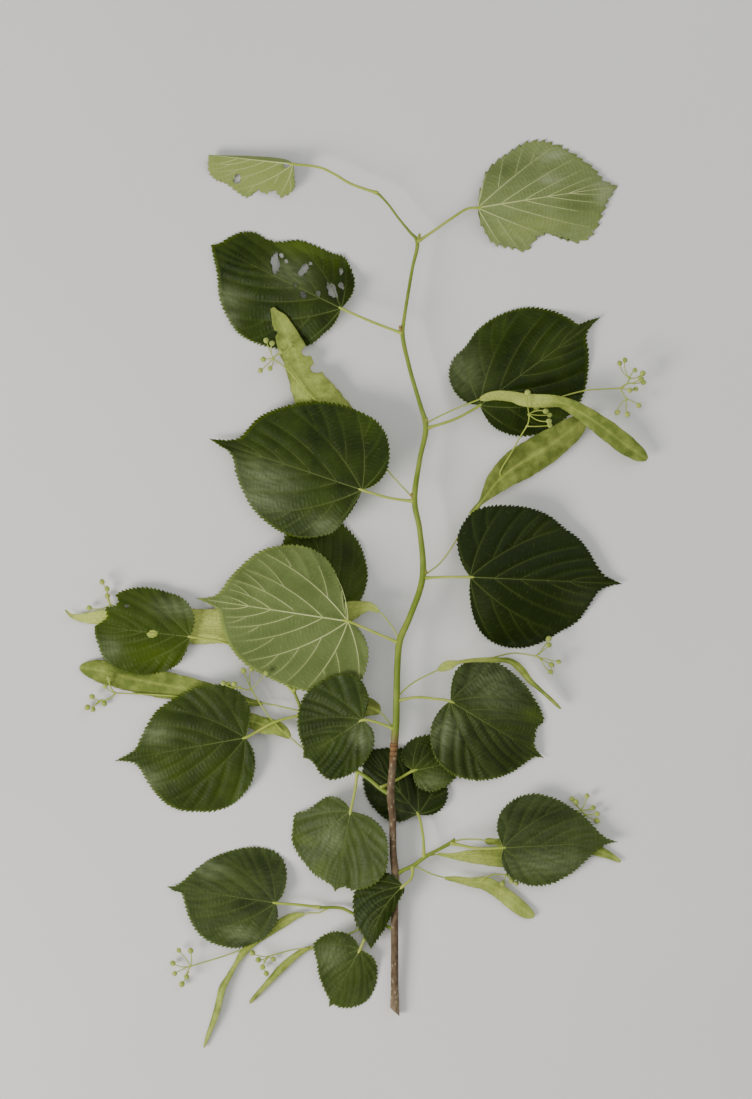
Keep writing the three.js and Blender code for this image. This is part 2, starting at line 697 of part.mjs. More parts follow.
        fruits: [
          [134.5, -127.3, 3.2], [137, -129.2, 3.6], [143.8, -125.5, 4], [147.5, -132.9, 3.4],
        ],
      },
      {
        knot: [142.5, -137.3, 3.2],
        fruits: [[150, -136.6, 4.8], [150, -141, 2.9]],
      },
    ],
  },
  bract_low_right_cream: {
    limb: "right",
    at: [43.2, -162.1],
    stalk: [[47.5, -161.8, 10]],
    ribbon: [
      [50.6, -161.2, 9.4, 0.8, 0],
      [56.2, -162.2, 8.6, 1.4, 0],
      [62.4, -162.7, 7.8, 2.4, 0],
      [69.4, -162.9, 6.9, 3.8, 0],
      [79.2, -163.6, 5.6, 4.7, 0],
      [89.1, -164.2, 4.6, 5.6, 0],
      [101.6, -164.6, 3.4, 5.6, 0],
      [114, -165.2, 2.4, 5.4, 0],
      [127.6, -165.8, 1.8, 3, 0],
      [134.5, -165.8, 1.7, 0.8, 0],
    ],
  },
  bract_low_right_broad: {
    limb: "right",
    at: [35.7, -168.9],
    stalk: [[45.7, -173.3, 9.4]],
    ribbon: [
      [55, -176.4, 7.6, 0.9, 0],
      [62.4, -177.3, 6.4, 2, 0],
      [71.7, -179.2, 5, 3, 0],
      [80.4, -180.1, 4, 4.2, 0],
      [89.1, -185.1, 3, 4.6, 0],
      [98.4, -192.5, 2.2, 4.8, 0],
      [105.9, -198.1, 2, 4, 0],
      [110.9, -200.9, 2, 1, 0],
    ],
    peduncle: [[78, -178.3, 5.4], [84.2, -174.5, 5.4]],
    sprays: [
      {
        knot: [92.9, -174.5, 5],
        fruits: [[91, -179.8, 5.6], [96.6, -178.3, 4], [99.7, -180.1, 2.8]],
      },
    ],
  },
  bract_bottom_long: {
    limb: "low",
    at: [-16.5, -195.2],
    stalk: [[-23.9, -198.4, 3.2], [-28.3, -198.4, 3.6]],
    ribbon: [
      [-32.6, -199.1, 3.8, 0.8, 0],
      [-38.8, -200.6, 3.4, 2.3, 10],
      [-44.4, -203.5, 2.6, 3.1, 5],
      [-50.6, -207.5, 2.2, 3, 0],
      [-58.7, -213.4, 2, 2.2, 0],
      [-65.5, -218.6, 2.2, 1.9, 10],
      [-71.1, -223.6, 2.6, 2.5, 30],
      [-75, -229.6, 3, 1.8, 40],
      [-79.2, -237.1, 3.2, 2.2, 45],
      [-83.8, -245.8, 3.2, 3, 45],
      [-85.7, -253.3, 3.1, 3, 45],
      [-88, -261.9, 2.9, 2.8, 45],
      [-91.9, -272.7, 2.4, 1.9, 45],
      [-95.4, -282.6, 1.6, 0.6, 40],
    ],
    peduncle: [[-55, -211.8, 3.6], [-66.1, -218.6, 4], [-79.8, -224.2, 5]],
    sprays: [
      {
        knot: [-103.4, -231.4, 6],
        fruits: [
          [-110.9, -221.7, 5], [-103.4, -221.7, 7.5], [-114.6, -229.8, 3.6], [-113.4, -236, 6.5],
        ],
      },
      {
        knot: [-105.3, -235.4, 5.6],
        fruits: [[-105.9, -237.9, 7.5], [-109, -242.9, 3.6]],
      },
    ],
  },
  bract_bottom_short: {
    limb: "low",
    at: [9.6, -202.5],
    stalk: [[0.9, -208.7, 4], [-7.1, -212.4, 3], [-17.7, -216.8, 2.6]],
    ribbon: [
      [-26.4, -219.9, 2.8, 0.8, 0],
      [-32, -221.4, 3, 1.5, 20],
      [-38.8, -225.8, 3.4, 2.6, 40],
      [-46.3, -232.3, 3.6, 3.1, 45],
      [-52.9, -239.3, 3.5, 2.7, 48],
      [-59.3, -246.3, 3.2, 2.1, 48],
      [-63.7, -251.1, 2.6, 1.7, 45],
      [-66.8, -255, 1.8, 0.6, 30],
    ],
    peduncle: [[-30.1, -220.5, 3.6], [-38.8, -221.1, 4.4], [-46.3, -223, 5]],
    sprays: [
      {
        knot: [-55, -225.5, 5.4],
        fruits: [[-64.9, -223, 8], [-61.2, -227.3, 7.4], [-51.9, -227.3, 3.6]],
      },
      {
        knot: [-57.5, -228.6, 5],
        fruits: [[-58.7, -232.3, 3.6], [-56.2, -236, 6]],
      },
    ],
  },
};

const UP = new THREE.Vector3(0, 0, 1);
const vec = (p) => new THREE.Vector3(p[0], p[1], p[2]);
const lerp = THREE.MathUtils.lerp;
const clamp = THREE.MathUtils.clamp;

// A closed BufferGeometry as a solid, and a solid as a BufferGeometry.
function solidFrom(points, triangles) {
  const vertProperties = new Float32Array(points.flatMap((p) => [p.x, p.y, p.z]));
  const triVerts = new Uint32Array(triangles.flat());
  return new wasm.Manifold(new wasm.Mesh({ numProp: 3, vertProperties, triVerts }));
}

function geometryFrom(solid) {
  const mesh = solid.getMesh();
  const geometry = new THREE.BufferGeometry();
  const places = new Float32Array(mesh.numVert * 3);
  for (let i = 0; i < mesh.numVert; i += 1) {
    const start = i * mesh.numProp;
    places.set(mesh.vertProperties.subarray(start, start + 3), i * 3);
  }
  geometry.setAttribute("position", new THREE.BufferAttribute(places, 3));
  geometry.setIndex(new THREE.BufferAttribute(mesh.triVerts, 1));
  geometry.computeVertexNormals();
  return geometry;
}

// A round body: a sphere of few faces.
function ball(centre, radius, [around, down]) {
  const sphere = new THREE.SphereGeometry(radius, around, down);
  sphere.rotateX(Math.PI / 2);
  sphere.translate(centre.x, centre.y, centre.z);
  sphere.deleteAttribute("normal");
  sphere.deleteAttribute("uv");
  const merged = mergeVertices(sphere, 1e-4);
  const place = merged.attributes.position;
  const points = Array.from({ length: place.count }, (_, i) =>
    new THREE.Vector3().fromBufferAttribute(place, i),
  );
  const index = Array.from(merged.index.array);
  const triangles = [];
  for (let i = 0; i < index.length; i += 3) triangles.push(index.slice(i, i + 3));
  return solidFrom(points, triangles);
}

// A tapering tube with flat ends, along a smooth curve through the points, one radius for each.
// slant: how far its first end runs back per unit across, as a vector.
function tube(points, radii, sides, slant = new THREE.Vector3()) {
  const curve = new THREE.CatmullRomCurve3(points, false, "centripetal");
  const spans = points.length - 1;
  const stations = [0];
  for (let k = 0; k < spans; k += 1) {
    const long = spans > 1 ? points[k].distanceTo(points[k + 1]) : 0;
    const steps = Math.max(1, Math.round(long / TUBE_STEP));
    for (let i = 1; i <= steps; i += 1) stations.push(k + i / steps);
  }
  const count = stations.length - 1;
  const rings = [];
  let across = null;
  for (const [i, at] of stations.entries()) {
    const centre = curve.getPoint(at / spans);
    const ahead = curve.getTangent(at / spans);
    if (!across) {
      const other = Math.abs(ahead.z) > 0.9 ? new THREE.Vector3(1, 0, 0) : UP;
      across = new THREE.Vector3().crossVectors(ahead, other).normalize();
    }
    across.addScaledVector(ahead, -across.dot(ahead)).normalize();
    const over = new THREE.Vector3().crossVectors(ahead, across);
    const k = Math.min(Math.floor(at), spans - 1);
    const radius = lerp(radii[k], radii[k + 1], at - k);
    const ring = [];
    for (let s = 0; s < sides; s += 1) {
      const angle = (2 * Math.PI * s) / sides;
      const offset = across
        .clone()
        .multiplyScalar(Math.cos(angle) * radius)
        .addScaledVector(over, Math.sin(angle) * radius);
      const back = i === 0 ? -offset.dot(slant) : 0;
      ring.push(centre.clone().add(offset).addScaledVector(ahead, back));
    }
    rings.push(ring);
  }
  const vertices = rings.flat();
  const triangles = [];
  for (let i = 0; i < count; i += 1) {
    for (let s = 0; s < sides; s += 1) {
      const a = i * sides + s;
      const b = i * sides + ((s + 1) % sides);
      triangles.push([a, b, b + sides], [a, b + sides, a + sides]);
    }
  }
  for (let s = 1; s < sides - 1; s += 1) {
    triangles.push([0, s + 1, s]);
    const last = count * sides;
    triangles.push([last, last + s, last + s + 1]);
  }
  return solidFrom(vertices, triangles);
}

// A thin closed sheet round a middle surface: both faces lie half the thickness off it along its
// normals, and walls close every free edge.
function sheet(points, triangles, thickness) {
  const normals = points.map(() => new THREE.Vector3());
  for (const [a, b, c] of triangles) {
    const normal = new THREE.Vector3()
      .subVectors(points[b], points[a])
      .cross(new THREE.Vector3().subVectors(points[c], points[a]));
    for (const i of [a, b, c]) normals[i].add(normal);
  }
  normals.forEach((n) => n.normalize());
  const count = points.length;
  const top = points.map((p, i) => p.clone().addScaledVector(normals[i], thickness / 2));
  const under = points.map((p, i) => p.clone().addScaledVector(normals[i], -thickness / 2));
  const faces = [];
  const edges = new Set();
  for (const [a, b, c] of triangles) {
    faces.push([a, b, c], [a + count, c + count, b + count]);
    for (const [i, j] of [[a, b], [b, c], [c, a]]) edges.add(i + "," + j);
  }
  for (const edge of edges) {
    const [i, j] = edge.split(",").map(Number);
    if (edges.has(j + "," + i)) continue;
    faces.push([i, i + count, j + count], [i, j + count, j]);
  }
  return solidFrom([...top, ...under], faces);
}

// Where a limb's centreline passes nearest to a place in plan: centre, direction, radius there, and
// the length left to the limb's tip where it is on the last stretch.
function nearestOnLimb(limb, place) {
  const { line } = LIMBS[limb];
  let best = null;
  for (let i = 0; i + 1 < line.length; i += 1) {
    const [a, b] = [line[i], line[i + 1]];
    const [dx, dy] = [b[0] - a[0], b[1] - a[1]];
    const along = ((place[0] - a[0]) * dx + (place[1] - a[1]) * dy) / (dx * dx + dy * dy);
    const t = clamp(along, 0, 1);
    const centre = vec(a).lerp(vec(b), t);
    const distance = Math.hypot(centre.x - place[0], centre.y - place[1]);
    if (best && distance >= best.distance) continue;
    const direction = vec(b).sub(vec(a)).normalize();
    const left = i + 2 < line.length ? Infinity : centre.distanceTo(vec(b));
    best = { distance, centre, direction, radius: Math.max(a[3], b[3]), left };
  }
  return best;
}

// The first point of a stalk that leaves a limb towards a point: its flat end just clears the
// limb's side or, sooner, the limb's flat tip.
function clearStart(limb, place, towards, radius) {
  const { centre, direction, radius: limbRadius, left } = nearestOnLimb(limb, place);
  const way = vec(towards).sub(centre).normalize();
  const along = way.dot(direction);
  const square = Math.sqrt(1 - along * along);
  const aside = (limbRadius + JOINT_GAP + radius * Math.abs(along)) / square;
  const past = along > 0 ? (left + JOINT_GAP + radius * square) / along : Infinity;
  return centre.addScaledVector(way, Math.min(aside, past));
}

// A height eased flat on to the table: unchanged well above it, resting on it where it would sink.
function settle(height, rest) {
  const over = height - rest;
  if (over <= -PRESS_DEPTH) return rest;
  if (over >= PRESS_DEPTH) return height;
  return rest + (over + PRESS_DEPTH) ** 2 / (4 * PRESS_DEPTH);
}

// The height of a blade's middle surface at [along, across]: the midrib runs straight from joint to
// tip with its arch, and each half leaves it towards its margin's height by a power of the distance.
function bladeHeight(leaf, length, along, across) {
  const { joint, tip, arch = 0 } = leaf;
  const side = across >= 0 ? leaf.left : leaf.right;
  const midrib = (t) =>
    t < 0
      ? joint[2] + (joint[2] - tip[2]) * 0.5 * t
      : lerp(joint[2], tip[2], t) + arch * 4 * t * (1 - t);
  const drop = side.height - midrib(side.wideAt / length);
  const out = Math.min(Math.abs(across) / side.width, 1.2) ** MARGIN_DROOP_POWER;
  return settle(midrib(along / length) + drop * out, LEAF_THICKNESS / 2);
}

// A leaf blade on rays from its joint, and its petiole, joined.
function makeLeaf(leaf) {
  const { joint, tip, left, right, bend = 0, petiole } = leaf;
  const length = Math.hypot(tip[0] - joint[0], tip[1] - joint[1]);
  const ahead = new THREE.Vector3(tip[0] - joint[0], tip[1] - joint[1], 0).divideScalar(length);
  const aside = new THREE.Vector3(-ahead.y, ahead.x, 0);
  const place = (along, across) => {
    const t = clamp(along / length, 0, 1);
    return new THREE.Vector3(joint[0], joint[1], bladeHeight(leaf, length, along, across))
      .addScaledVector(ahead, along)
      .addScaledVector(aside, across + bend * 4 * t * (1 - t));
  };

  const rightMargin = right.margin.map(([along, across]) => [along, -across]).reverse();
  const margin = [...left.margin, [length, 0], ...rightMargin];
  const points = [place(0, 0)];
  for (const ring of BLADE_RINGS) {
    margin.forEach(([along, across]) => points.push(place(along * ring, across * ring)));
  }
  const count = margin.length;
  const triangles = [];
  for (let i = 0; i + 1 < count; i += 1) {
    triangles.push([0, 2 + i, 1 + i]);
    for (let ring = 0; ring + 1 < BLADE_RINGS.length; ring += 1) {
      const a = 1 + ring * count + i;
      const b = a + count;
      triangles.push([a, a + 1, b + 1], [a, b + 1, b]);
    }
  }
  const blade = sheet(points, triangles, LEAF_THICKNESS);

  const start = clearStart(petiole.limb, petiole.at, petiole.via[0], PETIOLE_RADIUS);
  const foot = place(0, 0);
  const end = place(PETIOLE_INTO_BLADE, 0);
  const path = [start, ...petiole.via.map(vec), foot, end];
  const radii = path.map((_, i) =>
    lerp(PETIOLE_RADIUS, PETIOLE_TIP_RADIUS, i / (path.length - 1)),
  );
  return blade.add(tube(path, radii, PETIOLE_SIDES));
}

// A bract: its stalk, the ribbon, the fruit stalk that leaves its midrib, and the forking sprays.
function makeBract(bract) {
  const { limb, at, stalk, ribbon, peduncle, sprays = [] } = bract;
  const solids = [];

  const spine = ribbon.map(vec);
  const centre = new THREE.CatmullRomCurve3(spine, false, "centripetal");
  const spans = ribbon.length - 1;
  const points = [];
  for (let i = 0; i <= spans; i += 1) {
    const ahead = centre.getTangent(i / spans);
    const level = new THREE.Vector3().crossVectors(ahead, UP).normalize();
    const [, , , halfWidth, roll] = ribbon[i];
    const across = level.applyAxisAngle(ahead, THREE.MathUtils.degToRad(roll));
    for (const side of [1, 0, -1]) {
      points.push(spine[i].clone().addScaledVector(across, side * halfWidth));
    }
  }
  const lowest = BRACT_THICKNESS / 2;
  points.forEach((p) => {
    p.z = Math.max(p.z, lowest);
  });
  const triangles = [];
  for (let i = 0; i < spans; i += 1) {
    for (const column of [0, 1]) {
      const a = 3 * i + column;
      triangles.push([a, a + 3, a + 4], [a, a + 4, a + 1]);
    }
  }
  solids.push(sheet(points, triangles, BRACT_THICKNESS));

  const start = clearStart(limb, at, stalk[0], STALK_RADIUS);
  const foot = [start, ...stalk.map(vec), spine[0], spine[1]];
  solids.push(tube(foot, foot.map(() => STALK_RADIUS), STALK_SIDES));

  if (peduncle) {
    const path = [...peduncle.map(vec), vec(sprays[0].knot)];
    const root = spine.reduce((a, b) => (b.distanceTo(path[0]) < a.distanceTo(path[0]) ? b : a));
    path.unshift(root);
    solids.push(tube(path, path.map(() => STALK_RADIUS), STALK_SIDES));
  }
  sprays.forEach(({ knot, fruits }, i) => {
    const fork = vec(knot);
    solids.push(ball(fork, KNOT_RADIUS, KNOT_FACES));
    if (i > 0) {
      const link = [vec(sprays[0].knot), fork];
      solids.push(tube(link, [STALK_RADIUS, STALK_RADIUS], PEDICEL_SIDES));
    }
    for (const place of fruits) {
      const fruit = vec(place);
      solids.push(tube([fork, fruit], [PEDICEL_RADIUS, PEDICEL_RADIUS], PEDICEL_SIDES));
      solids.push(ball(fruit, FRUIT_RADIUS, FRUIT_FACES));
    }
  });
  return solids.reduce((a, b) => a.add(b));
}

// A limb of the skeleton, with its buds; one that grows on another starts just clear of it.
function makeLimb(limb) {
  const { line, sides, on, at, buds = [] } = limb;
  const points = line.map(vec);
  const radii = line.map((p) => p[3]);
  if (on) {
    points.unshift(clearStart(on, at, line[0], radii[0]));
    radii.unshift(radii[0]);
  }
  let solid = tube(points, radii, sides, limb.cut && vec(limb.cut));
  for (const bud of buds) {
    solid = solid.add(ball(vec(bud), BUD_RADIUS, BUD_FACES));
  }
  return solid;
}

const root = new THREE.Group();
root.name = "cut_linden_branch";

function addNode(name, solid, material) {
  const mesh = new THREE.Mesh(geometryFrom(solid), MATERIALS[material]);
  mesh.name = name;
  root.add(mesh);
}

for (const limb of Object.values(LIMBS)) addNode(limb.node, makeLimb(limb), limb.material);
for (const [name, leaf] of Object.entries(LEAVES)) {
  addNode(name, makeLeaf(leaf), leaf.underside ? "leaf_underside" : "leaf_upper");
}
for (const [name, bract] of Object.entries(BRACTS)) addNode(name, makeBract(bract), "bract");

export default root;
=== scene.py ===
"""Looks of a cut linden branch in young fruit, lying flat on a pale table.

Sizes are in millimetres in the frame of the solids: the table at Z = 0, the shoot along +Y from
its cut end, +X to the right. Meshes are put into the scene in metres.
"""

import logging
import math
from dataclasses import dataclass
from enum import Enum, IntEnum

import bpy
import numpy as np
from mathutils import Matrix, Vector


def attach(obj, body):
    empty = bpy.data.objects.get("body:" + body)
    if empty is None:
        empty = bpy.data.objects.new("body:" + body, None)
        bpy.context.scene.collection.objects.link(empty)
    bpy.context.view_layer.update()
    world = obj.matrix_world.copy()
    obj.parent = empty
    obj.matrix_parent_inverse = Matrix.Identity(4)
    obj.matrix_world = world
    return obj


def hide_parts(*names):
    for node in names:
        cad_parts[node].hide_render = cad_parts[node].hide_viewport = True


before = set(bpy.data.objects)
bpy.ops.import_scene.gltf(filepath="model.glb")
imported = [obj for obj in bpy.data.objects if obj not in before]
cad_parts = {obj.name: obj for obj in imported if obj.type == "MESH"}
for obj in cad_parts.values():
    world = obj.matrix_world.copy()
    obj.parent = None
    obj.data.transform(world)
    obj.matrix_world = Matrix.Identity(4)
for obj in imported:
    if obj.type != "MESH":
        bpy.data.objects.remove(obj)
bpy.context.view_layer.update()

log = logging.getLogger("linden_branch")

Array = np.ndarray
Numbers = tuple[float, ...]
Material = bpy.types.Material
Socket = bpy.types.NodeSocket

MM = 0.001
TAU = 2 * math.pi
UP = np.array([0.0, 0.0, 1.0])
LOWEST_POINT = 0.25
BLADE_THICKNESS = 0.3
SKIN_THICKNESS = 0.12
RIBBON_THICKNESS = 0.26


class Slot(Enum):
    """Material slots of the record."""

    BARK = "bark"
    GREEN_STEM = "green_stem"
    LEAF_UPPER = "leaf_upper"
    LEAF_UNDERSIDE = "leaf_underside"
    BRACT = "bract"


class LeafFinish(IntEnum):
    """A leaf's finishes, in the order that its faces count them."""

    FACE_UP = 0
    FACE_DOWN = 1
    RIB = 2
    STALK = 3


# ---- shape tools ----


def unit(vectors: Array) -> Array:
    """Vectors scaled to length one along the last axis."""
    return vectors / np.maximum(np.linalg.norm(vectors, axis=-1, keepdims=True), 1e-9)


def bell(values: Array) -> Array:
    """A bell of height 1 about 0: e to the power of minus the square."""
    return np.exp(-(values**2))


def smoothstep(low: float, high: float, values: Array) -> Array:
    """A smooth rise from 0 at low to 1 at high."""
    t = np.clip((values - low) / (high - low), 0, 1)
    return t * t * (3 - 2 * t)


def smooth_path(knots: Array, at: Array) -> Array:
    """A centripetal Catmull-Rom curve through knots.

    Each span is a cubic Hermite stretch whose end slopes come from the four knots round it,
    spaced by the square root of their distance.

    Args:
        knots: (n, k) rows; the first three columns are the place and set the spacing.
        at: parameters from 0 to n - 1, whole numbers at the knots.

    Returns:
        (m, k) rows of the curve.
    """
    rows = np.vstack([2 * knots[0] - knots[1], knots, 2 * knots[-1] - knots[-2]])
    gap = np.sqrt(np.linalg.norm(np.diff(rows[:, :3], axis=0), axis=1))[:, None]
    k = np.clip(np.floor(at).astype(int), 0, len(knots) - 2)
    t = (at - k)[:, None]
    before, span, after = gap[k], gap[k + 1], gap[k + 2]
    p0, p1, p2, p3 = rows[k], rows[k + 1], rows[k + 2], rows[k + 3]
    m1 = ((p1 - p0) / before - (p2 - p0) / (before + span) + (p2 - p1) / span) * span
    m2 = ((p2 - p1) / span - (p3 - p1) / (span + after) + (p3 - p2) / after) * span
    return (
        p1 * (2 * t**3 - 3 * t**2 + 1)
        + m1 * (t**3 - 2 * t**2 + t)
        + p2 * (3 * t**2 - 2 * t**3)
        + m2 * (t**3 - t**2)
    )


def run_along(places: Array) -> Array:
    """Distance travelled along rows of places, from 0 at the first."""
    return np.concatenate([[0], np.cumsum(np.linalg.norm(np.diff(places, axis=0), axis=1))])


def even_path(knots: Array, step: float) -> Array:
    """The smooth curve through knots, sampled at even distances.

    Args:
        knots: (n, k) rows that start with x, y and z.
        step: about how far apart the samples are.

    Returns:
        (m, k) rows of the curve.
    """
    dense = np.linspace(0, len(knots) - 1, 24 * (len(knots) - 1) + 1)
    run = run_along(smooth_path(knots, dense)[:, :3])
    count = max(2, math.ceil(run[-1] / step)) + 1
    return smooth_path(knots, np.interp(np.linspace(0, run[-1], count), run, dense))


def frames_along(centres: Array) -> tuple[Array, Array, Array]:
    """Directions that travel with curves: ahead, level to the right of it, and over it.

    Args:
        centres: (..., n, 3) places along each curve.

    Returns:
        Three arrays of the same shape: ahead, level and over.
    """
    ahead = unit(np.gradient(centres, axis=-2))
    level = unit(np.cross(ahead, UP))
    return ahead, level, np.cross(level, ahead)


def wobble(values: Array, seed: int, waves: int = 4) -> Array:
    """A smooth, seeded unevenness: a sum of sines of rising pitch and falling size.

    Args:
        values: where along it, in radians of its slowest wave.
        seed: of its pitches and phases.
        waves: how many sines it sums.

    Returns:
        Numbers between about -1 and 1, one for each value.
    """
    draw = np.random.default_rng(seed)
    pitches = draw.uniform(0.6, 1.4, waves) * np.arange(1, waves + 1)
    phases = draw.uniform(0, TAU, waves)
    total = np.sin(values[..., None] * pitches + phases) / np.arange(1, waves + 1)
    return total.sum(-1) / 1.6


@dataclass
class Faces:
    """Faces of a patch: their corners, which finish they take, and whether they shade smooth."""

    corners: Array
    finish: int = 0
    smooth: bool = True


@dataclass
class Patch:
    """A closed surface. Faces point outwards.

    plane holds each point's place in the blade's own plane, and tint what its finish reads:
    bright, grey, dark and nearness to a vein. On a leaf's blade, bright is partly painted light,
    grey is painted sheen and dark is painted shade.
    """

    points: Array
    faces: list[Faces]
    plane: Array | None = None
    tint: Array | None = None

    def filled(self, rows: Array | None, width: int) -> Array:
        """What it holds for its points, or zeros where it holds nothing."""
        return np.zeros((len(self.points), width)) if rows is None else rows


def tubes(centres: Array, radii: Array, sides: int, finish: int = 0) -> Patch:
    """Closed round tubes, one for each curve.

    A point of a ring is the centre plus the radius times (the cosine of its angle times level
    plus the sine times over). Both ends close on a pole at the ring's centre.

    Args:
        centres: (v, n, 3) places along v curves.
        radii: (v, n) or (v, n, sides) radii.
        sides: points round each ring.
        finish: of the walls and the ends.

    Returns:
        One patch with all the tubes: its walls, its first ends and its last ends.
    """
    count, rings, _ = centres.shape
    radii = np.broadcast_to(radii.reshape(count, rings, -1), (count, rings, sides))
    angle = np.linspace(0, TAU, sides, endpoint=False)[:, None]
    _, level, over = (d[:, :, None] for d in frames_along(centres))
    spokes = np.cos(angle) * level + np.sin(angle) * over
    walls = centres[:, :, None] + radii[..., None] * spokes
    middle = walls[:, [0, -1]].mean(2)
    points = np.concatenate([walls.reshape(-1, 3), middle.reshape(-1, 3)])
    index = np.arange(count * rings * sides).reshape(count, rings, sides)
    poles = count * rings * sides + np.arange(2 * count).reshape(count, 2)
    turned = np.roll(index, -1, axis=2)
    quads = np.stack([index[:, :-1], index[:, 1:], turned[:, 1:], turned[:, :-1]], -1)
    first = np.broadcast_to(poles[:, :1], (count, sides))
    last = np.broadcast_to(poles[:, 1:], (count, sides))
    start_cap = np.stack([first, index[:, 0], turned[:, 0]], -1).reshape(-1, 3)
    end_cap = np.stack([last, turned[:, -1], index[:, -1]], -1).reshape(-1, 3)
    return Patch(points, [Faces(part, finish) for part in (quads.reshape(-1, 4), start_cap, end_cap)])


def grid_faces(rows: int, columns: int, first: int = 0) -> Array:
    """The quads of a grid of points that are numbered row by row.

    Args:
        rows: of points.
        columns: of points.
        first: number of the first point.

    Returns:
        (n, 4) numbers of points.
    """
    index = first + np.arange(rows * columns).reshape(rows, columns)
    quads = [index[:-1, :-1], index[:-1, 1:], index[1:, 1:], index[1:, :-1]]
    return np.stack(quads, -1).reshape(-1, 4)


def shell(
    points: Array, faces: Array, thickness: float, under_finish: int
) -> tuple[Array, list[Faces]]:
    """A thin closed sheet round a middle surface.

    Both faces lie half the thickness off it along its normals, and walls close its free edges.

    Args:
        points: (n, 3) middle surface.
        faces: (k, 4) quads; a triangle repeats its last corner.
        thickness: of the sheet.
        under_finish: finish of the lower face and the walls.

    Returns:
        (2n, 3) points, upper ones first, and the faces.
    """
    across = points[faces[:, 2]] - points[faces[:, 0]]
    facing = np.cross(across, points[faces[:, 3]] - points[faces[:, 1]])
    normals = np.zeros_like(points)
    for corner in range(4):
        np.add.at(normals, faces[:, corner], facing)
    normals = unit(normals) * thickness / 2
    edges = np.concatenate([faces[:, [i, (i + 1) % 4]] for i in range(4)])
    edges = edges[edges[:, 0] != edges[:, 1]]
    count = len(points)
    forward = edges[:, 0] * count + edges[:, 1]
    backward = edges[:, 1] * count + edges[:, 0]
    rim = edges[~np.isin(forward, backward)]
    walls = np.stack([rim[:, 0], rim[:, 0] + count, rim[:, 1] + count, rim[:, 1]], -1)
    three = faces[:, 2] == faces[:, 3]
    parts = [
        Faces(faces[~three]),
        Faces(faces[~three][:, ::-1] + count, under_finish),
        Faces(walls, under_finish, False),
    ]
    if three.any():
        parts += [
            Faces(faces[three][:, :3]),
            Faces(faces[three][:, 2::-1] + count, under_finish),
        ]
    return np.concatenate([points + normals, points - normals]), parts


def join_patches(name: str, patches: list[Patch]) -> bpy.types.Mesh:
    """One mesh of all patches, with their planes as its UV map and their tints as a column.

    Args:
        name: of the mesh.
        patches: closed surfaces in millimetres.

    Returns:
        The mesh, in metres.
    """
    starts = np.cumsum([0] + [len(patch.points) for patch in patches])
    sets = [(start, faces) for start, patch in zip(starts, patches) for faces in patch.faces]
    sets = [(start, faces) for start, faces in sets if len(faces.corners)]
    corners = np.concatenate([(faces.corners + start).ravel() for start, faces in sets])
    sizes = [len(faces.corners) for _, faces in sets]
    totals = np.repeat([faces.corners.shape[1] for _, faces in sets], sizes)
    points = np.concatenate([patch.points for patch in patches]) * MM

    mesh = bpy.data.meshes.new(name)
    mesh.vertices.add(len(points))
    mesh.vertices.foreach_set("co", points.astype(np.float32).ravel())
    mesh.loops.add(len(corners))
    mesh.loops.foreach_set("vertex_index", corners.astype(np.int32))
    mesh.polygons.add(len(totals))
    first_loops = np.concatenate([[0], np.cumsum(totals)[:-1]])
    mesh.polygons.foreach_set("loop_start", first_loops.astype(np.int32))
    finish_of = np.repeat([faces.finish for _, faces in sets], sizes)
    mesh.polygons.foreach_set("material_index", finish_of.astype(np.int32))
    mesh.polygons.foreach_set("use_smooth", np.repeat([faces.smooth for _, faces in sets], sizes))

    plane = np.concatenate([patch.filled(patch.plane, 2) for patch in patches])
    layer = mesh.uv_layers.new(name="plane")
    layer.data.foreach_set("uv", plane[corners].astype(np.float32).ravel())
    tint = np.concatenate([patch.filled(patch.tint, 4) for patch in patches])
    column = mesh.attributes.new("tint", "FLOAT_COLOR", "POINT")
    column.data.foreach_set("color", tint.astype(np.float32).ravel())
    mesh.update(calc_edges=True)
    return mesh


def add_piece(name: str, patches: list[Patch], finishes: list[Material], node: str) -> None:
    """Puts patches into one object that rides on the branch and stands for a node of the solids.

    Args:
        name: of the object.
        patches: closed surfaces in millimetres.
        finishes: materials that the faces' finish numbers count through.
        node: the node it replaces.
    """
    mesh = join_patches(name, patches)
    for finish in finishes:
        mesh.materials.append(finish)
    piece = bpy.data.objects.new(name, mesh)
    bpy.context.scene.collection.objects.link(piece)
    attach(piece, "root")
    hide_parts(node)
    log.info("%s: %d faces, for %s", name, len(mesh.polygons), node)


# ---- finishes ----


def colour(red: int, green: int, blue: int) -> Numbers:
    """A screen colour, 0 to 255 a channel, as the linear red, green, blue and alpha of a shader."""
    share = [c / 255 for c in (red, green, blue)]
    return (*(c / 12.92 if c <= 0.04045 else ((c + 0.055) / 1.055) ** 2.4 for c in share), 1.0)


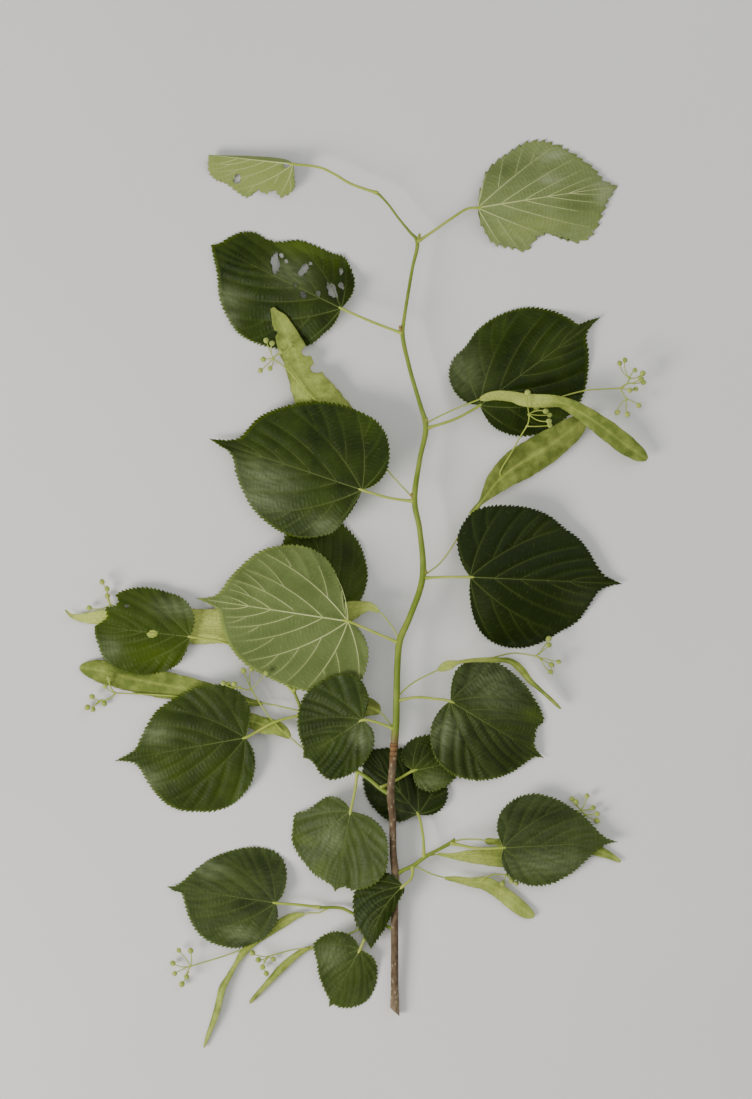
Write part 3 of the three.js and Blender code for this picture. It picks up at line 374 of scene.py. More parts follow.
class Nodes:
    """A material's node tree, built one node at a time round its Principled shader."""

    def __init__(self, name: str) -> None:
        """Makes the material and finds its shader.

        Args:
            name: of the material.
        """
        self.material = bpy.data.materials.new(name)
        self.material.use_nodes = True
        self.tree = self.material.node_tree
        self.shader = self.tree.nodes["Principled BSDF"]

    def add(self, kind: str, settings: dict | None = None, **inputs: object) -> bpy.types.Node:
        """Adds a node.

        Args:
            kind: its type, without the leading ShaderNode.
            settings: its properties.
            **inputs: a socket or a value for each named input, with _ for a space.

        Returns:
            The node.
        """
        node = self.tree.nodes.new("ShaderNode" + kind)
        for key, value in (settings or {}).items():
            setattr(node, key, value)
        for key, value in inputs.items():
            self.feed(node.inputs[key.replace("_", " ")], value)
        return node

    def feed(self, socket: Socket, value: object) -> None:
        """Links a socket into an input, or sets its value.

        Args:
            socket: the input.
            value: a socket, or what the input is set to.
        """
        if isinstance(value, Socket):
            self.tree.links.new(value, socket)
        else:
            socket.default_value = value

    def stretched(self, place: Socket, scale: Numbers) -> Socket:
        """A place with each of its axes scaled."""
        return self.add("Mapping", Vector=place, Scale=scale).outputs["Vector"]

    def object_place(self, scale: Numbers = (1.0, 1.0, 1.0)) -> Socket:
        """Object coordinates with each axis scaled."""
        return self.stretched(self.add("TexCoord").outputs["Object"], scale)

    def plane_place(self) -> Socket:
        """The place in the blade's own plane."""
        return self.add("UVMap", {"uv_map": "plane"}).outputs["UV"]

    def tint(self) -> tuple[Socket, Socket, Socket, Socket]:
        """Reads the tint.

        Returns:
            Its four columns: bright, grey, dark and nearness to a vein.
        """
        column = self.add("Attribute", {"attribute_name": "tint"})
        split = self.add("SeparateColor", Color=column.outputs["Color"])
        return (*split.outputs[:3], column.outputs["Alpha"])

    def noise(
        self, place: Socket, scale: float, detail: float = 3.0, roughness: float = 0.55
    ) -> Socket:
        """Soft noise between 0 and 1."""
        node = self.add("TexNoise", Vector=place, Scale=scale, Detail=detail, Roughness=roughness)
        return node.outputs["Fac"]

    def spread(
        self, value: Socket, low: float, high: float, to_low: float = 0.0, to_high: float = 1.0
    ) -> Socket:
        """A value's range from low to high, laid over another range and held at its ends."""
        ends = {"From_Min": low, "From_Max": high, "To_Min": to_low, "To_Max": to_high}
        return self.add("MapRange", Value=value, **ends).outputs["Result"]

    def edges(self, place: Socket, scale: float, width: float) -> Socket:
        """The edges of random cells: 1 on an edge, falling to 0 at a width from it."""
        cells = self.add("TexVoronoi", {"feature": "DISTANCE_TO_EDGE"}, Vector=place, Scale=scale)
        return self.spread(cells.outputs["Distance"], 0.0, width, 1, 0)

    def mix(self, share: Socket, first: object, second: object) -> Socket:
        """A colour that goes from first to second as share goes from 0 to 1.

        Args:
            share: of the second.
            first: a colour, or a socket that gives one.
            second: the same.

        Returns:
            The mixed colour.
        """
        node = self.add("Mix", {"data_type": "RGBA"})
        self.feed(node.inputs[0], share)
        self.feed(node.inputs[6], first)
        self.feed(node.inputs[7], second)
        return node.outputs[2]

    def product(self, first: Socket, second: Socket | float) -> Socket:
        """Two numbers multiplied.

        Args:
            first: of them.
            second: of them.

        Returns:
            Their product.
        """
        node = self.add("Math", {"operation": "MULTIPLY"})
        self.feed(node.inputs[0], first)
        self.feed(node.inputs[1], second)
        return node.outputs[0]

    def bump(self, height: Socket, depth: float, under: Socket | None = None) -> Socket:
        """Relief in the shading alone.

        Args:
            height: from 0 to 1.
            depth: what 1 stands for, in metres.
            under: another relief that this one lies on.

        Returns:
            The bent normal.
        """
        node = self.add("Bump", Height=height, Distance=depth, Strength=1.0)
        if under is not None:
            self.feed(node.inputs["Normal"], under)
        return node.outputs["Normal"]

    def finish(
        self, base: Socket, roughness: Socket, normal: Socket, sheen: float = 0.0, gloss: float = 0.5
    ) -> Material:
        """Joins a finish to the shader.

        Args:
            base: colour.
            roughness: from 0 to 1.
            normal: from the bump.
            sheen: how much soft felt lies over it.
            gloss: strength of its reflections.

        Returns:
            The material.
        """
        self.feed(self.shader.inputs["Base Color"], base)
        self.feed(self.shader.inputs["Roughness"], roughness)
        self.feed(self.shader.inputs["Normal"], normal)
        self.shader.inputs["Sheen Weight"].default_value = sheen
        self.shader.inputs["Specular IOR Level"].default_value = gloss
        return self.material


@dataclass(frozen=True)
class BladeFinish:
    """One side of a leaf: mottled green between paler veins, with faint rungs between them.

    It is mottled with deep and middle. The tint turns it bright, a brighter green that is partly
    painted light; grey, a painted sheen; and deep, a painted shade.
    """

    name: str
    deep: Numbers
    middle: Numbers
    bright: Numbers
    grey: Numbers
    vein: Numbers
    vein_share: float
    rung_share: float
    roughness: float
    sheen: float = 0.0
    gloss: float = 0.14

    def make(self) -> Material:
        """The rungs run round the blade's joint, 2.4 mm apart and bent by noise.

        Returns:
            The material.
        """
        n = Nodes(self.name)
        place = n.object_place()
        plane = n.plane_place()
        bright, grey, dark, vein = n.tint()
        broad = n.noise(place, 45)
        base = n.mix(n.spread(broad, 0.32, 0.68), self.deep, self.middle)
        base = n.mix(n.spread(n.noise(place, 420, 4, 0.7), 0.35, 0.8, 0, 0.35), base, self.middle)
        # The tint's bright column: a brighter green, partly painted light.
        base = n.mix(bright, base, self.bright)
        # Painted sheen: the grey column, broken into streaks, paints the lamps' reflections in as grey.
        streaks = n.spread(n.noise(n.stretched(plane, (0.25, 1.0, 1.0)), 0.5), 0.3, 0.6, 0.42, 0.95)
        base = n.mix(n.product(grey, streaks), base, self.grey)
        # Painted shade: the dark column darkens the blade towards deep.
        base = n.mix(n.product(dark, 0.85), base, self.deep)
        rungs = n.add(
            "TexWave",
            {"wave_type": "RINGS", "rings_direction": "Z"},
            Vector=plane, Scale=0.131, Distortion=3.2, Detail=2.0, Detail_Scale=1.2,
        ).outputs["Fac"]
        rungs = n.product(rungs, n.spread(n.noise(plane, 0.3), 0.4, 0.62))
        thin = n.spread(rungs, 0.6, 1.0)
        base = n.mix(n.product(thin, self.rung_share), base, self.vein)
        base = n.mix(n.product(vein, self.vein_share), base, self.vein)
        cells = n.add("TexVoronoi", Vector=place, Scale=1500).outputs["Distance"]
        rough = n.spread(n.noise(place, 260), 0.3, 0.7, self.roughness - 0.06, self.roughness + 0.08)
        normal = n.bump(rungs, 0.00016, n.bump(cells, 0.00006))
        return n.finish(base, rough, normal, self.sheen, self.gloss)


@dataclass(frozen=True)
class StalkFinish:
    """A smooth green stalk or vein, streaked along its length and flushed in places.

    The tint's grey column fades it to faint, and its dark one turns it brown.
    """

    name: str
    base: Numbers
    flush: Numbers
    faint: Numbers = (0.0, 0.0, 0.0, 1.0)
    roughness: float = 0.5
    gloss: float = 0.3
    brown: Numbers = colour(112, 84, 52)

    def make(self) -> Material:
        """Long soft streaks over slow clouds of the flush.

        Returns:
            The material.
        """
        n = Nodes(self.name)
        place = n.object_place()
        streak = n.noise(n.object_place((1.0, 0.25, 1.0)), 900)
        base = n.mix(n.spread(n.noise(place, 60), 0.42, 0.68), self.base, self.flush)
        base = n.mix(n.spread(streak, 0.5, 0.8, 0, 0.35), base, self.flush)
        _, faded, browned, _ = n.tint()
        base = n.mix(faded, base, self.faint)
        base = n.mix(browned, base, self.brown)
        rough = n.spread(streak, 0.3, 0.7, self.roughness - 0.08, self.roughness + 0.1)
        return n.finish(base, rough, n.bump(streak, 0.00008), 0.0, self.gloss)


@dataclass(frozen=True)
class BarkFinish:
    """Young bark: brown under a grey bloom, with dark fissures.

    Where the tint is bright it takes the band's colour, where grey a pore's, where dark a scar's.
    """

    name: str
    brown: Numbers
    bloom: Numbers
    fissure: Numbers
    band: Numbers
    pore: Numbers
    scar: Numbers

    def make(self) -> Material:
        """Fissures are noise stretched along the stem.

        Returns:
            The material.
        """
        n = Nodes(self.name)
        bright, grey, dark, _ = n.tint()
        long_place = n.object_place((1.0, 0.22, 1.0))
        fissure = n.noise(long_place, 1100, 5, 0.65)
        base = n.mix(n.spread(n.noise(n.object_place(), 130), 0.35, 0.7), self.brown, self.bloom)
        base = n.mix(n.spread(fissure, 0.35, 0.5, 0.6, 0), base, self.fissure)
        base = n.mix(bright, base, self.band)
        base = n.mix(grey, base, self.pore)
        base = n.mix(dark, base, self.scar)
        rough = n.spread(fissure, 0.3, 0.7, 0.62, 0.86)
        return n.finish(base, rough, n.bump(fissure, 0.0003), 0.0, 0.2)


@dataclass(frozen=True)
class CutFinish:
    """The freshly cut face of the wood: pale and streaked."""

    name: str
    wood: Numbers
    ring: Numbers

    def make(self) -> Material:
        """Fine noise streaks over pale wood.

        Returns:
            The material.
        """
        n = Nodes(self.name)
        grain = n.noise(n.object_place((1.0, 0.3, 1.0)), 1600)
        base = n.mix(n.spread(grain, 0.35, 0.65), self.wood, self.ring)
        return n.finish(base, n.spread(grain, 0.3, 0.7, 0.6, 0.75), n.bump(grain, 0.0001))


@dataclass(frozen=True)
class BractFinish:
    """A bract: papery yellow-green with a net of fine veins, and paler and greener clouds.

    Where the tint is bright it turns bright, where grey green, and where dark dry.
    """

    name: str
    pale: Numbers
    green: Numbers
    bright: Numbers
    dry: Numbers
    net: Numbers
    roughness: float = 0.58

    def make(self) -> Material:
        """The net is the edges of cells in the ribbon's plane, the larger ones stretched along it.

        Returns:
            The material.
        """
        n = Nodes(self.name)
        bright, grey, dark, vein = n.tint()
        plane = n.plane_place()
        place = n.object_place()
        base = n.mix(n.spread(n.noise(place, 90, 4, 0.6), 0.4, 0.6), self.pale, self.green)
        base = n.mix(bright, base, self.bright)
        base = n.mix(grey, base, self.green)
        base = n.mix(dark, base, self.dry)
        base = n.mix(n.spread(n.noise(place, 130, 3, 0.5), 0.4, 0.75, 0, 0.4), base, self.bright)
        coarse = n.edges(n.stretched(plane, (0.42, 1.0, 1.0)), 0.62, 0.09)
        fine = n.edges(plane, 1.1, 0.12)
        base = n.mix(n.product(coarse, 0.4), base, self.net)
        base = n.mix(n.product(fine, 0.18), base, self.net)
        base = n.mix(n.product(vein, 0.22), base, self.bright)
        rough = n.spread(n.noise(place, 300), 0.3, 0.7, self.roughness - 0.05, self.roughness + 0.1)
        normal = n.bump(coarse, 0.0001, n.bump(fine, 0.00005))
        return n.finish(base, rough, normal, 0.0, 0.15)


@dataclass(frozen=True)
class FruitFinish:
    """Young fruit: pale green felt with a darker tip where tint is dark."""

    name: str
    pale: Numbers
    green: Numbers
    tip: Numbers

    def make(self) -> Material:
        """Fine felt is small noise in colour and bump.

        Returns:
            The material.
        """
        n = Nodes(self.name)
        _, _, dark, _ = n.tint()
        place = n.object_place()
        felt = n.noise(place, 2600, 3, 0.7)
        base = n.mix(n.spread(n.noise(place, 240), 0.35, 0.65), self.pale, self.green)
        base = n.mix(n.spread(felt, 0.45, 0.75, 0, 0.45), base, self.pale)
        base = n.mix(dark, base, self.tip)
        return n.finish(base, n.spread(felt, 0.3, 0.7, 0.7, 0.9), n.bump(felt, 0.00018), 0.25)


# On both sides, grey is the colour of the painted sheen, deep is also that of the painted shade, and
# bright is a brighter green that is partly painted light.
UPPER = BladeFinish(
    "leaf_upper_side",
    deep=colour(24, 36, 3),
    middle=colour(50, 66, 10),
    bright=colour(94, 114, 20),
    grey=colour(112, 122, 84),
    vein=colour(92, 110, 42),
    vein_share=0.12,
    rung_share=0.12,
    roughness=0.45,
    gloss=0.12,
)
UNDERSIDE = BladeFinish(
    "leaf_under_side",
    deep=colour(84, 98, 46),
    middle=colour(104, 118, 64),
    bright=colour(156, 172, 76),
    grey=colour(160, 168, 128),
    vein=colour(150, 162, 96),
    vein_share=0.16,
    rung_share=0.16,
    roughness=0.66,
    sheen=0.06,
)
RIB_UPPER = StalkFinish(
    "rib_upper_side", colour(106, 120, 62), colour(126, 138, 78), colour(54, 70, 16), 0.5, 0.15
)
RIB_UNDER = StalkFinish(
    "rib_under_side", colour(192, 202, 130), colour(206, 212, 152), colour(146, 158, 92), 0.6
)
PETIOLE = StalkFinish("petiole_green", colour(156, 172, 62), colour(178, 186, 90))
SHOOT = StalkFinish("shoot_green", colour(108, 128, 32), colour(136, 150, 56), roughness=0.46)
BUD = StalkFinish("bud_scales", colour(140, 150, 60), colour(150, 112, 66), roughness=0.45)
BARK = BarkFinish(
    "young_bark",
    brown=colour(90, 70, 48),
    bloom=colour(124, 106, 82),
    fissure=colour(52, 38, 28),
    band=colour(136, 100, 58),
    pore=colour(172, 156, 124),
    scar=colour(60, 42, 30),
)
CUT_WOOD = CutFinish("cut_wood", colour(206, 192, 154), colour(182, 164, 122))
BRACT = BractFinish(
    "bract_paper",
    pale=colour(152, 166, 76),
    green=colour(94, 110, 40),
    bright=colour(202, 213, 110),
    dry=colour(92, 84, 40),
    net=colour(112, 128, 50),
)
FRUIT = FruitFinish("fruit_felt", colour(176, 188, 84), colour(134, 152, 52), colour(58, 46, 26))


# ---- shoots ----


BUD_LENGTH = 4.6
BUD_SUNK = 1.6
BUD_GIRTH = 1.55
BUD_SIDES = 18


@dataclass(frozen=True)
class Limb:
    """A stem or side shoot that swells at its nodes, with its buds.

    Attributes:
        node: of the solids.
        line: centreline knots from foot to tip, [x, y, z, radius].
        on: the limb that carries this one, and at: where it leaves it.
        buds: the places of its buds, each with the way it points in plan, in degrees from +X.
        sides: points round it, and step: distance between its rings.
    """

    node: str
    line: tuple[Numbers, ...]
    on: str = ""
    at: Numbers = ()
    buds: tuple[Numbers, ...] = ()
    sides: int = 28
    step: float = 0.9

    def centre_near(self, place: Numbers) -> Array:
        """The point of the centreline nearest to a place.

        Args:
            place: in plan, [x, y].

        Returns:
            That point, [x, y, z, radius].
        """
        dense = even_path(np.array(self.line), 1.0)
        away = np.hypot(dense[:, 0] - place[0], dense[:, 1] - place[1])
        return dense[np.argmin(away)]

    def knots(self) -> Array:
        """The centreline's knots, started inside the limb that carries this one.

        Returns:
            Rows of [x, y, z, radius].
        """
        line = np.array(self.line)
        if not self.on:
            return line
        root = LIMBS[self.on].centre_near(self.at)
        foot = np.array([*root[:3], line[0, 3] * 1.35])
        return np.vstack([foot, line])

    def surface(self, seed: int, relief: float) -> Patch:
        """The limb's own surface.

        The radius is the knots' radius, with low ridges that run along it (sines of the angle
        that drift with distance) and soft seeded swellings.

        Args:
            seed: of the swellings.
            relief: how far ridges and swellings stand out, as a share of the radius.

        Returns:
            One closed tube.
        """
        path = even_path(self.knots(), self.step)
        run = run_along(path[:, :3])[:, None]
        angle = np.linspace(0, TAU, self.sides, endpoint=False)[None, :]
        ridges = np.sin(5 * angle + run / 23) + 0.7 * np.sin(3 * angle - run / 31 + 1)
        swell = wobble(run / 4.2 + 0 * angle, seed) + wobble(run / 2.1 + 2 * np.cos(angle), seed + 1)
        radii = path[:, 3:] * (1 + relief * ridges + 0.6 * relief * swell)
        return tubes(path[None, :, :3], radii[None], self.sides)

    def bud_patches(self, finish: int) -> list[Patch]:
        """Buds at the nodes: eggs of two overlapping scales, wide low down and pointed at the tip.

        Args:
            finish: number of the buds' finish.

        Returns:
            One closed patch for each bud.
        """
        patches = []
        t = np.linspace(0, 1, 16)
        girth = BUD_GIRTH * np.sqrt(t) * (1 - t**2.4) ** 0.8 + 0.02
        for x, y, z, way in self.buds:
            ahead = np.array([math.cos(math.radians(way)), math.sin(math.radians(way)), 0.12])
            centres = np.array([x, y, z]) + np.outer(BUD_LENGTH * t - BUD_SUNK, ahead)
            angle = np.linspace(0, TAU, BUD_SIDES, endpoint=False)[None, :]
            scale_edge = 0.12 * smoothstep(0.2, 0.9, np.cos(angle - 3.4 * t[:, None]))
            radii = girth[:, None] * (1 + scale_edge)
            patches.append(tubes(centres[None], radii[None], BUD_SIDES, finish))
        return patches


@dataclass(frozen=True)
class OldWood(Limb):
    """The woody foot: barked, dotted with pores, ringed with scars at its top, cut at a slant.

    Attributes:
        slant: slope of the cut.
        pores: how many it has.
        scar: distance between the scars.
    """

    slant: float = 0.9
    pores: int = 120
    scar: float = 3.2

    def pore_rise(self, run: Array, angle: Array) -> Array:
        """The pores as a sum of bells at seeded places.

        Args:
            run: distance of each ring from the foot, as a column.
            angle: of each point round a ring, as a row.

        Returns:
            A number for each point: about 1 in the middle of a pore and 0 away from all.
        """
        draw = np.random.default_rng(11)
        rise = np.zeros((len(run), self.sides))
        for _ in range(self.pores):
            at, turn = draw.uniform(4, run[-1, 0] - 6), draw.uniform(0, TAU)
            long, wide = draw.uniform(0.5, 1.1), draw.uniform(0.16, 0.28)
            off = (np.angle(np.exp(1j * (angle - turn))) / wide) ** 2
            rise += np.exp(-(((run - at) / long) ** 2) - off)
        return rise

    def build(self) -> None:
        """Builds the barked stem with its cut face."""
        patch = self.surface(5, 0.018)
        rings = (len(patch.points) - 2) // self.sides
        wall = patch.points[:-2].reshape(rings, self.sides, 3)
        centre = wall.mean(1, keepdims=True)
        spoke = wall - centre
        run = run_along(centre[:, 0])[:, None]
        angle = np.linspace(0, TAU, self.sides, endpoint=False)[None, :]
        pore = np.minimum(self.pore_rise(run, angle), 1)
        left = run[-1, 0] - run
        groove = sum(bell((left - k * self.scar) / 0.5) for k in (0.5, 1.5, 2.5))
        collar = bell((left - 1.2) / 1.6)
        wrinkles = 0.05 * wobble(run * 1.7 + 0 * angle, 3) * (1 + 0.6 * np.sin(2 * angle))
        out = 0.1 * pore - 0.16 * groove + 0.3 * collar + wrinkles
        spoke *= (1 + out / np.linalg.norm(spoke, axis=2))[..., None]
        back = -spoke[..., 0] * self.slant * (1 - smoothstep(0, 7, run))
        wall[:] = centre + spoke
        wall[..., 1] += back
        patch.points[-2] = wall[0].mean(0)
        patch.points[-1] = wall[-1].mean(0)
        patch.faces[1].finish = 1
        patch.faces[1].smooth = False
        tint = np.zeros((len(patch.points), 4))
        reddish = 0.85 * smoothstep(16, 2, left) + 0 * angle
        tan = 0.8 * smoothstep(16, 2, run) * (0.6 + 0.4 * wobble(run / 3 + 2 * angle, 8))
        tint[:-2, 0] = reddish.ravel()
        tint[:-2, 1] = np.clip(0.85 * pore + 0.5 * tan, 0, 1).ravel()
        tint[:-2, 2] = np.clip(0.7 * np.minimum(groove, 1) + 0 * angle, 0, 1).ravel()
        patch.tint = tint
        add_piece("old_wood", [patch], [BARK.make(), CUT_WOOD.make()], self.node)


@dataclass(frozen=True)
class GreenShoot(Limb):
    """A green shoot or side shoot with its buds.

    Attributes:
        name: of the shoot.
        browned: how brown its foot is.
    """

    name: str = "green_shoot"
    browned: float = 0.0

    def build(self, finishes: list[Material]) -> None:
        """Builds the shoot and its buds as one piece.

        Args:
            finishes: of the shoot and of its buds.
        """
        shoot = self.surface(len(self.line), 0.012)
        foot = np.linalg.norm(shoot.points - np.array(self.line[0][:3]), axis=1)
        shoot.tint = np.zeros((len(shoot.points), 4))
        shoot.tint[:, 2] = self.browned * smoothstep(11, 1, foot)
        patches = [shoot, *self.bud_patches(1)]
        add_piece(self.name, patches, finishes, self.node)


# ---- leaves ----


@dataclass(frozen=True)
class Half:
    """Half of a blade's outline.

    Attributes:
        height: of its margin where it is widest.
        places: that the margin passes from beside the joint to the tip, [along, across].
        teeth: how much of its teeth it has.
    """

    height: float
    places: tuple[Numbers, ...]
    teeth: float = 1.0

    @property
    def widest(self) -> Numbers:
        """Its widest place."""
        return max(self.places, key=lambda place: place[1])

    def margin(self, length: float) -> Array:
        """The smooth outline from the joint through its places to the tip, as rows."""
        knots = np.array([(0.0, 0.0), *self.places, (length, 0.0)])
        return smooth_path(knots, np.linspace(0, len(knots) - 1, 12 * len(knots)))[1:]

    def vein_end(self, bearing: float, length: float) -> Array:
        """Where a vein ends just inside the margin, at the farthest place with its bearing.

        Args:
            bearing: in degrees off the midrib.
            length: of the blade.

        Returns:
            [along, across], or the joint if the margin has no such bearing.
        """
        curve = self.margin(length)
        near = np.abs(np.degrees(np.arctan2(curve[:, 1], curve[:, 0])) - bearing) < 3
        if not near.any():
            return np.zeros(2)
        return VEIN_REACH * curve[np.argmax(np.where(near, np.linalg.norm(curve, axis=1), -1))]


@dataclass(frozen=True)
class Petiole:
    """A leaf's stalk: the limb it leaves, where, and the points it passes on its way."""

    limb: str
    at: Numbers
    via: tuple[Numbers, ...]


# Veins that leave the joint: the bearings of their ends, in degrees off the midrib.
BASAL_VEINS = (33, 70, 112)
# Veins that leave the midrib: at which share of it, and the bearings of their ends.
MIDRIB_VEINS = ((0.16, 21), (0.33, 14), (0.5, 9), (0.65, 5.5))
# Where those fork on an underside, as a share of their run, and how much wider the fork bears.
MIDRIB_FORK = (0.55, 1.35)
# Branches: the basal vein each leaves, at which share of it, and the bearing of its end.
BRANCH_VEINS = (
    (33, 0.28, 56), (33, 0.5, 47), (33, 0.72, 40),
    (70, 0.42, 93), (70, 0.68, 81), (112, 0.45, 135),
)
# How strong a bright spot (partly painted light), a grey spot of painted sheen and a dark spot of
# painted shade are.
SPOT_STRENGTHS = (0.4, 0.75, 0.8)
VEIN_POINTS = 40
VEIN_REACH = 0.95
SHORTEST_VEIN = 7
RIB_SIDES = 6
# A tooth's outline: shares of its pitch, and how far out of the margin it stands there.
TOOTH_AT = np.array([0.0, 0.26, 0.52, 0.78, 0.95])
TOOTH_OUT = np.array([0.0, 0.3, 0.62, 0.92, 1.0]) - 0.5
RUNG_PITCH = 2.3
LAST_RING = 0.965
DROOP_POWER = 1.6
PRESS_DEPTH = 2.5
RESTING_HEIGHT = 0.5
PETIOLE_RADIUS = 0.92


@dataclass(frozen=True)
class Leaf:
    """A leaf: a toothed, veined blade from joint to tip, and its petiole.

    Attributes:
        name: of the leaf.
        joint: where the petiole meets the blade, and tip: the blade's tip, [x, y, z].
        left: and right: halves of the outline, seen from the joint towards the tip.
        petiole: the leaf's stalk.
        underside: whether the paler lower side faces up.
        arch: rise of the midrib, and bend: its sideways bow.
        holes: [along, across, half length, half width, degrees].
        bright: its soft spots of brighter green, partly painted light; grey: of painted sheen; dark: of
            painted shade; each [along, across, half length, half width].
        tooth: pitch of the teeth, and depth: how far they stand out.
        quilt: rise of the blade between its veins, and wave: of its margin.
        rings: of the mesh between joint and margin.
        tone: how much brighter green (partly painted light), painted sheen and painted shade lie over
            the whole blade.
        straight: whether its veins run nearly straight and unforked.
        ladder: rise of the rungs between its veins.
        fade: how far its thinnest veins sink into the blade's colour.
        windows: as holes, but a thin pale skin is left in them; its pale colour is painted light,
            standing in for the lit bract seen through the hole.
    """

    name: str
    joint: Numbers
    tip: Numbers
    left: Half
    right: Half
    petiole: Petiole
    underside: bool = False
    arch: float = 0
    bend: float = 0
    holes: tuple[Numbers, ...] = ()
    # Spots of brighter green (partly painted light), of painted sheen and of painted shade.
    bright: tuple[Numbers, ...] = ()
    grey: tuple[Numbers, ...] = ()
    dark: tuple[Numbers, ...] = ()
    tooth: float = 2.6
    depth: float = 1.25
    quilt: float = 0.55
    wave: float = 0.9
    rings: int = 26
    tone: Numbers = (0, 0, 0)
    straight: bool = False
    ladder: float = 0
    fade: float = 0.9
    windows: tuple[Numbers, ...] = ()

    @property
    def length(self) -> float:
        """From joint to tip in plan."""
        return math.hypot(self.tip[0] - self.joint[0], self.tip[1] - self.joint[1])

    def place(self, flat: Array) -> Array:
        """Places in plan of points of the blade's plane.

        Args:
            flat: rows of [along, across].

        Returns:
            Rows of [x, y].
        """
        ahead = np.array([self.tip[0] - self.joint[0], self.tip[1] - self.joint[1]]) / self.length
        aside = np.array([-ahead[1], ahead[0]])
        t = np.clip(flat[:, 0] / self.length, 0, 1)
        across = flat[:, 1] + self.bend * 4 * t * (1 - t)
        return np.array(self.joint[:2]) + flat[:, :1] * ahead + across[:, None] * aside

    def height(self, flat: Array) -> Array:
        """Height of the blade's middle surface.

        The midrib runs straight from joint to tip with its arch. Each half leaves it towards
        its margin's height by a power of the distance, and eases flat on to the table.

        Args:
            flat: rows of [along, across].

        Returns:
            A height for each row.
        """
        def midrib(t: Array) -> Array:
            """Height of the midrib at a share of its length."""
            line = self.joint[2] + (self.tip[2] - self.joint[2]) * np.where(t < 0, 0.5 * t, t)
            return line + np.where(t < 0, 0, self.arch * 4 * t * (1 - t))

        across = flat[:, 1]
        left = across >= 0
        sides = (self.left, self.right)
        drop = [side.height - midrib(np.array(side.widest[0] / self.length)) for side in sides]
        width = np.where(left, self.left.widest[1], self.right.widest[1])
        out = np.minimum(np.abs(across) / width, 1.2) ** DROOP_POWER
        height = midrib(flat[:, 0] / self.length) + np.where(left, *drop) * out
        over = height - RESTING_HEIGHT
        eased = RESTING_HEIGHT + (over + PRESS_DEPTH) ** 2 / (4 * PRESS_DEPTH)
        height = np.where(over < PRESS_DEPTH, eased, height)
        return np.where(over <= -PRESS_DEPTH, RESTING_HEIGHT, height)

    def outline(self) -> tuple[Array, Array]:
        """The margin, out along the left half and back along the right.

        A tooth is a saw's: it leans towards the tip, rises evenly off the margin along its
        outward normal, and drops back at once.

        Returns:
            Rows of [along, across] with the teeth, and the same rows without them.
        """
        draw = np.random.default_rng(len(self.name) + int(abs(self.joint[0]) * 7))
        toothed, plain = [], []
        for side, sign in ((self.left, 1), (self.right, -1)):
            curve = side.margin(self.length) * [1, sign]
            run = run_along(curve)
            count = max(8, round(run[-1] / self.tooth))
            pitch = np.cumsum(np.concatenate([[0], draw.uniform(0.7, 1.3, count)]))
            edges = pitch / pitch[-1] * run[-1]
            at = (edges[:-1, None] + np.diff(edges)[:, None] * TOOTH_AT).ravel()
            out = (draw.uniform(0.6, 1.25, (count, 1)) * side.teeth * self.depth * TOOTH_OUT).ravel()
            out *= smoothstep(1, 9, at) * (0.15 + 0.85 * smoothstep(0, 9, run[-1] - at))
            base = np.stack([np.interp(at, run, curve[:, k]) for k in (0, 1)], 1)
            slope = unit(np.gradient(base, axis=0))
            normal = np.stack([-slope[:, 1], slope[:, 0]], 1) * sign
            plain.append(base[::sign])
            toothed.append((base + normal * out[:, None])[::sign])
        end = np.array([[self.length, 0.0]])
        return (
            np.concatenate([toothed[0], end, toothed[1]]),
            np.concatenate([plain[0], end, plain[1]]),
        )

    def veins(self) -> tuple[Array, Array]:
        """The vein plan in the blade's plane.

        Side veins are quadratic curves bowed outwards, from the joint, the midrib or a basal
        vein, to just inside the margin.

        Returns:
            (v, points, 2) places and (v,) relative girths.
        """
        bow = 0.03 if self.straight else 0.12
        t = np.linspace(0, 1, VEIN_POINTS)[:, None]
        lines = [np.hstack([t * 0.97 * self.length, 0 * t])]
        girths = [1.0]
        for side, sign in ((self.left, 1), (self.right, -1)):

            def arc(start: Array, bearing: float, girth: float) -> None:
                """Adds a bowed vein, unless it is too short to see.

                Args:
                    start: of the vein.
                    bearing: of its end.
                    girth: beside the midrib's.
                """
                end = side.vein_end(bearing, self.length) * [1, sign]
                chord = end - start
                if np.linalg.norm(chord) < SHORTEST_VEIN:
                    return
                normal = np.array([-chord[1], chord[0]]) * sign
                control = (start + end) / 2 + bow * normal
                lines.append((1 - t) ** 2 * start + 2 * t * (1 - t) * control + t**2 * end)
                girths.append(girth)

            basal = {}
            for bearing in BASAL_VEINS:
                known = len(lines)
                arc(np.zeros(2), bearing, 0.7)
                if len(lines) > known:
                    basal[bearing] = lines[-1]
            for share, bearing in MIDRIB_VEINS:
                known = len(lines)
                arc(np.array([share * self.length, 0.0]), bearing, 0.5)
                if self.underside and not self.straight and len(lines) > known:
                    fork = lines[-1][round(MIDRIB_FORK[0] * (VEIN_POINTS - 1))]
                    arc(fork, bearing * MIDRIB_FORK[1], 0.28)
            for parent, share, bearing in BRANCH_VEINS:
                if parent in basal:
                    start = basal[parent][round(share * (VEIN_POINTS - 1))]
                    arc(start, bearing, 0.32)
        return np.array(lines), np.array(girths)

    def nearness(self, flat: Array, lines: Array) -> Array:
        """How near the veins are.

        Args:
            flat: rows of [along, across].
            lines: the vein plan.

        Returns:
            Each row's distance to the nearest vein.
        """
        coarse = lines[:, ::3]
        a = coarse[:, :-1].reshape(-1, 2)
        way = coarse[:, 1:].reshape(-1, 2) - a
        square = (way**2).sum(1)
        best = np.full(len(flat), 99.0)
        for start, step, size in zip(a, way, square):
            t = np.clip((flat - start) @ step / size, 0, 1)[:, None]
            off = flat - start - t * step
            best = np.minimum(best, (off**2).sum(1))
        return np.sqrt(best)

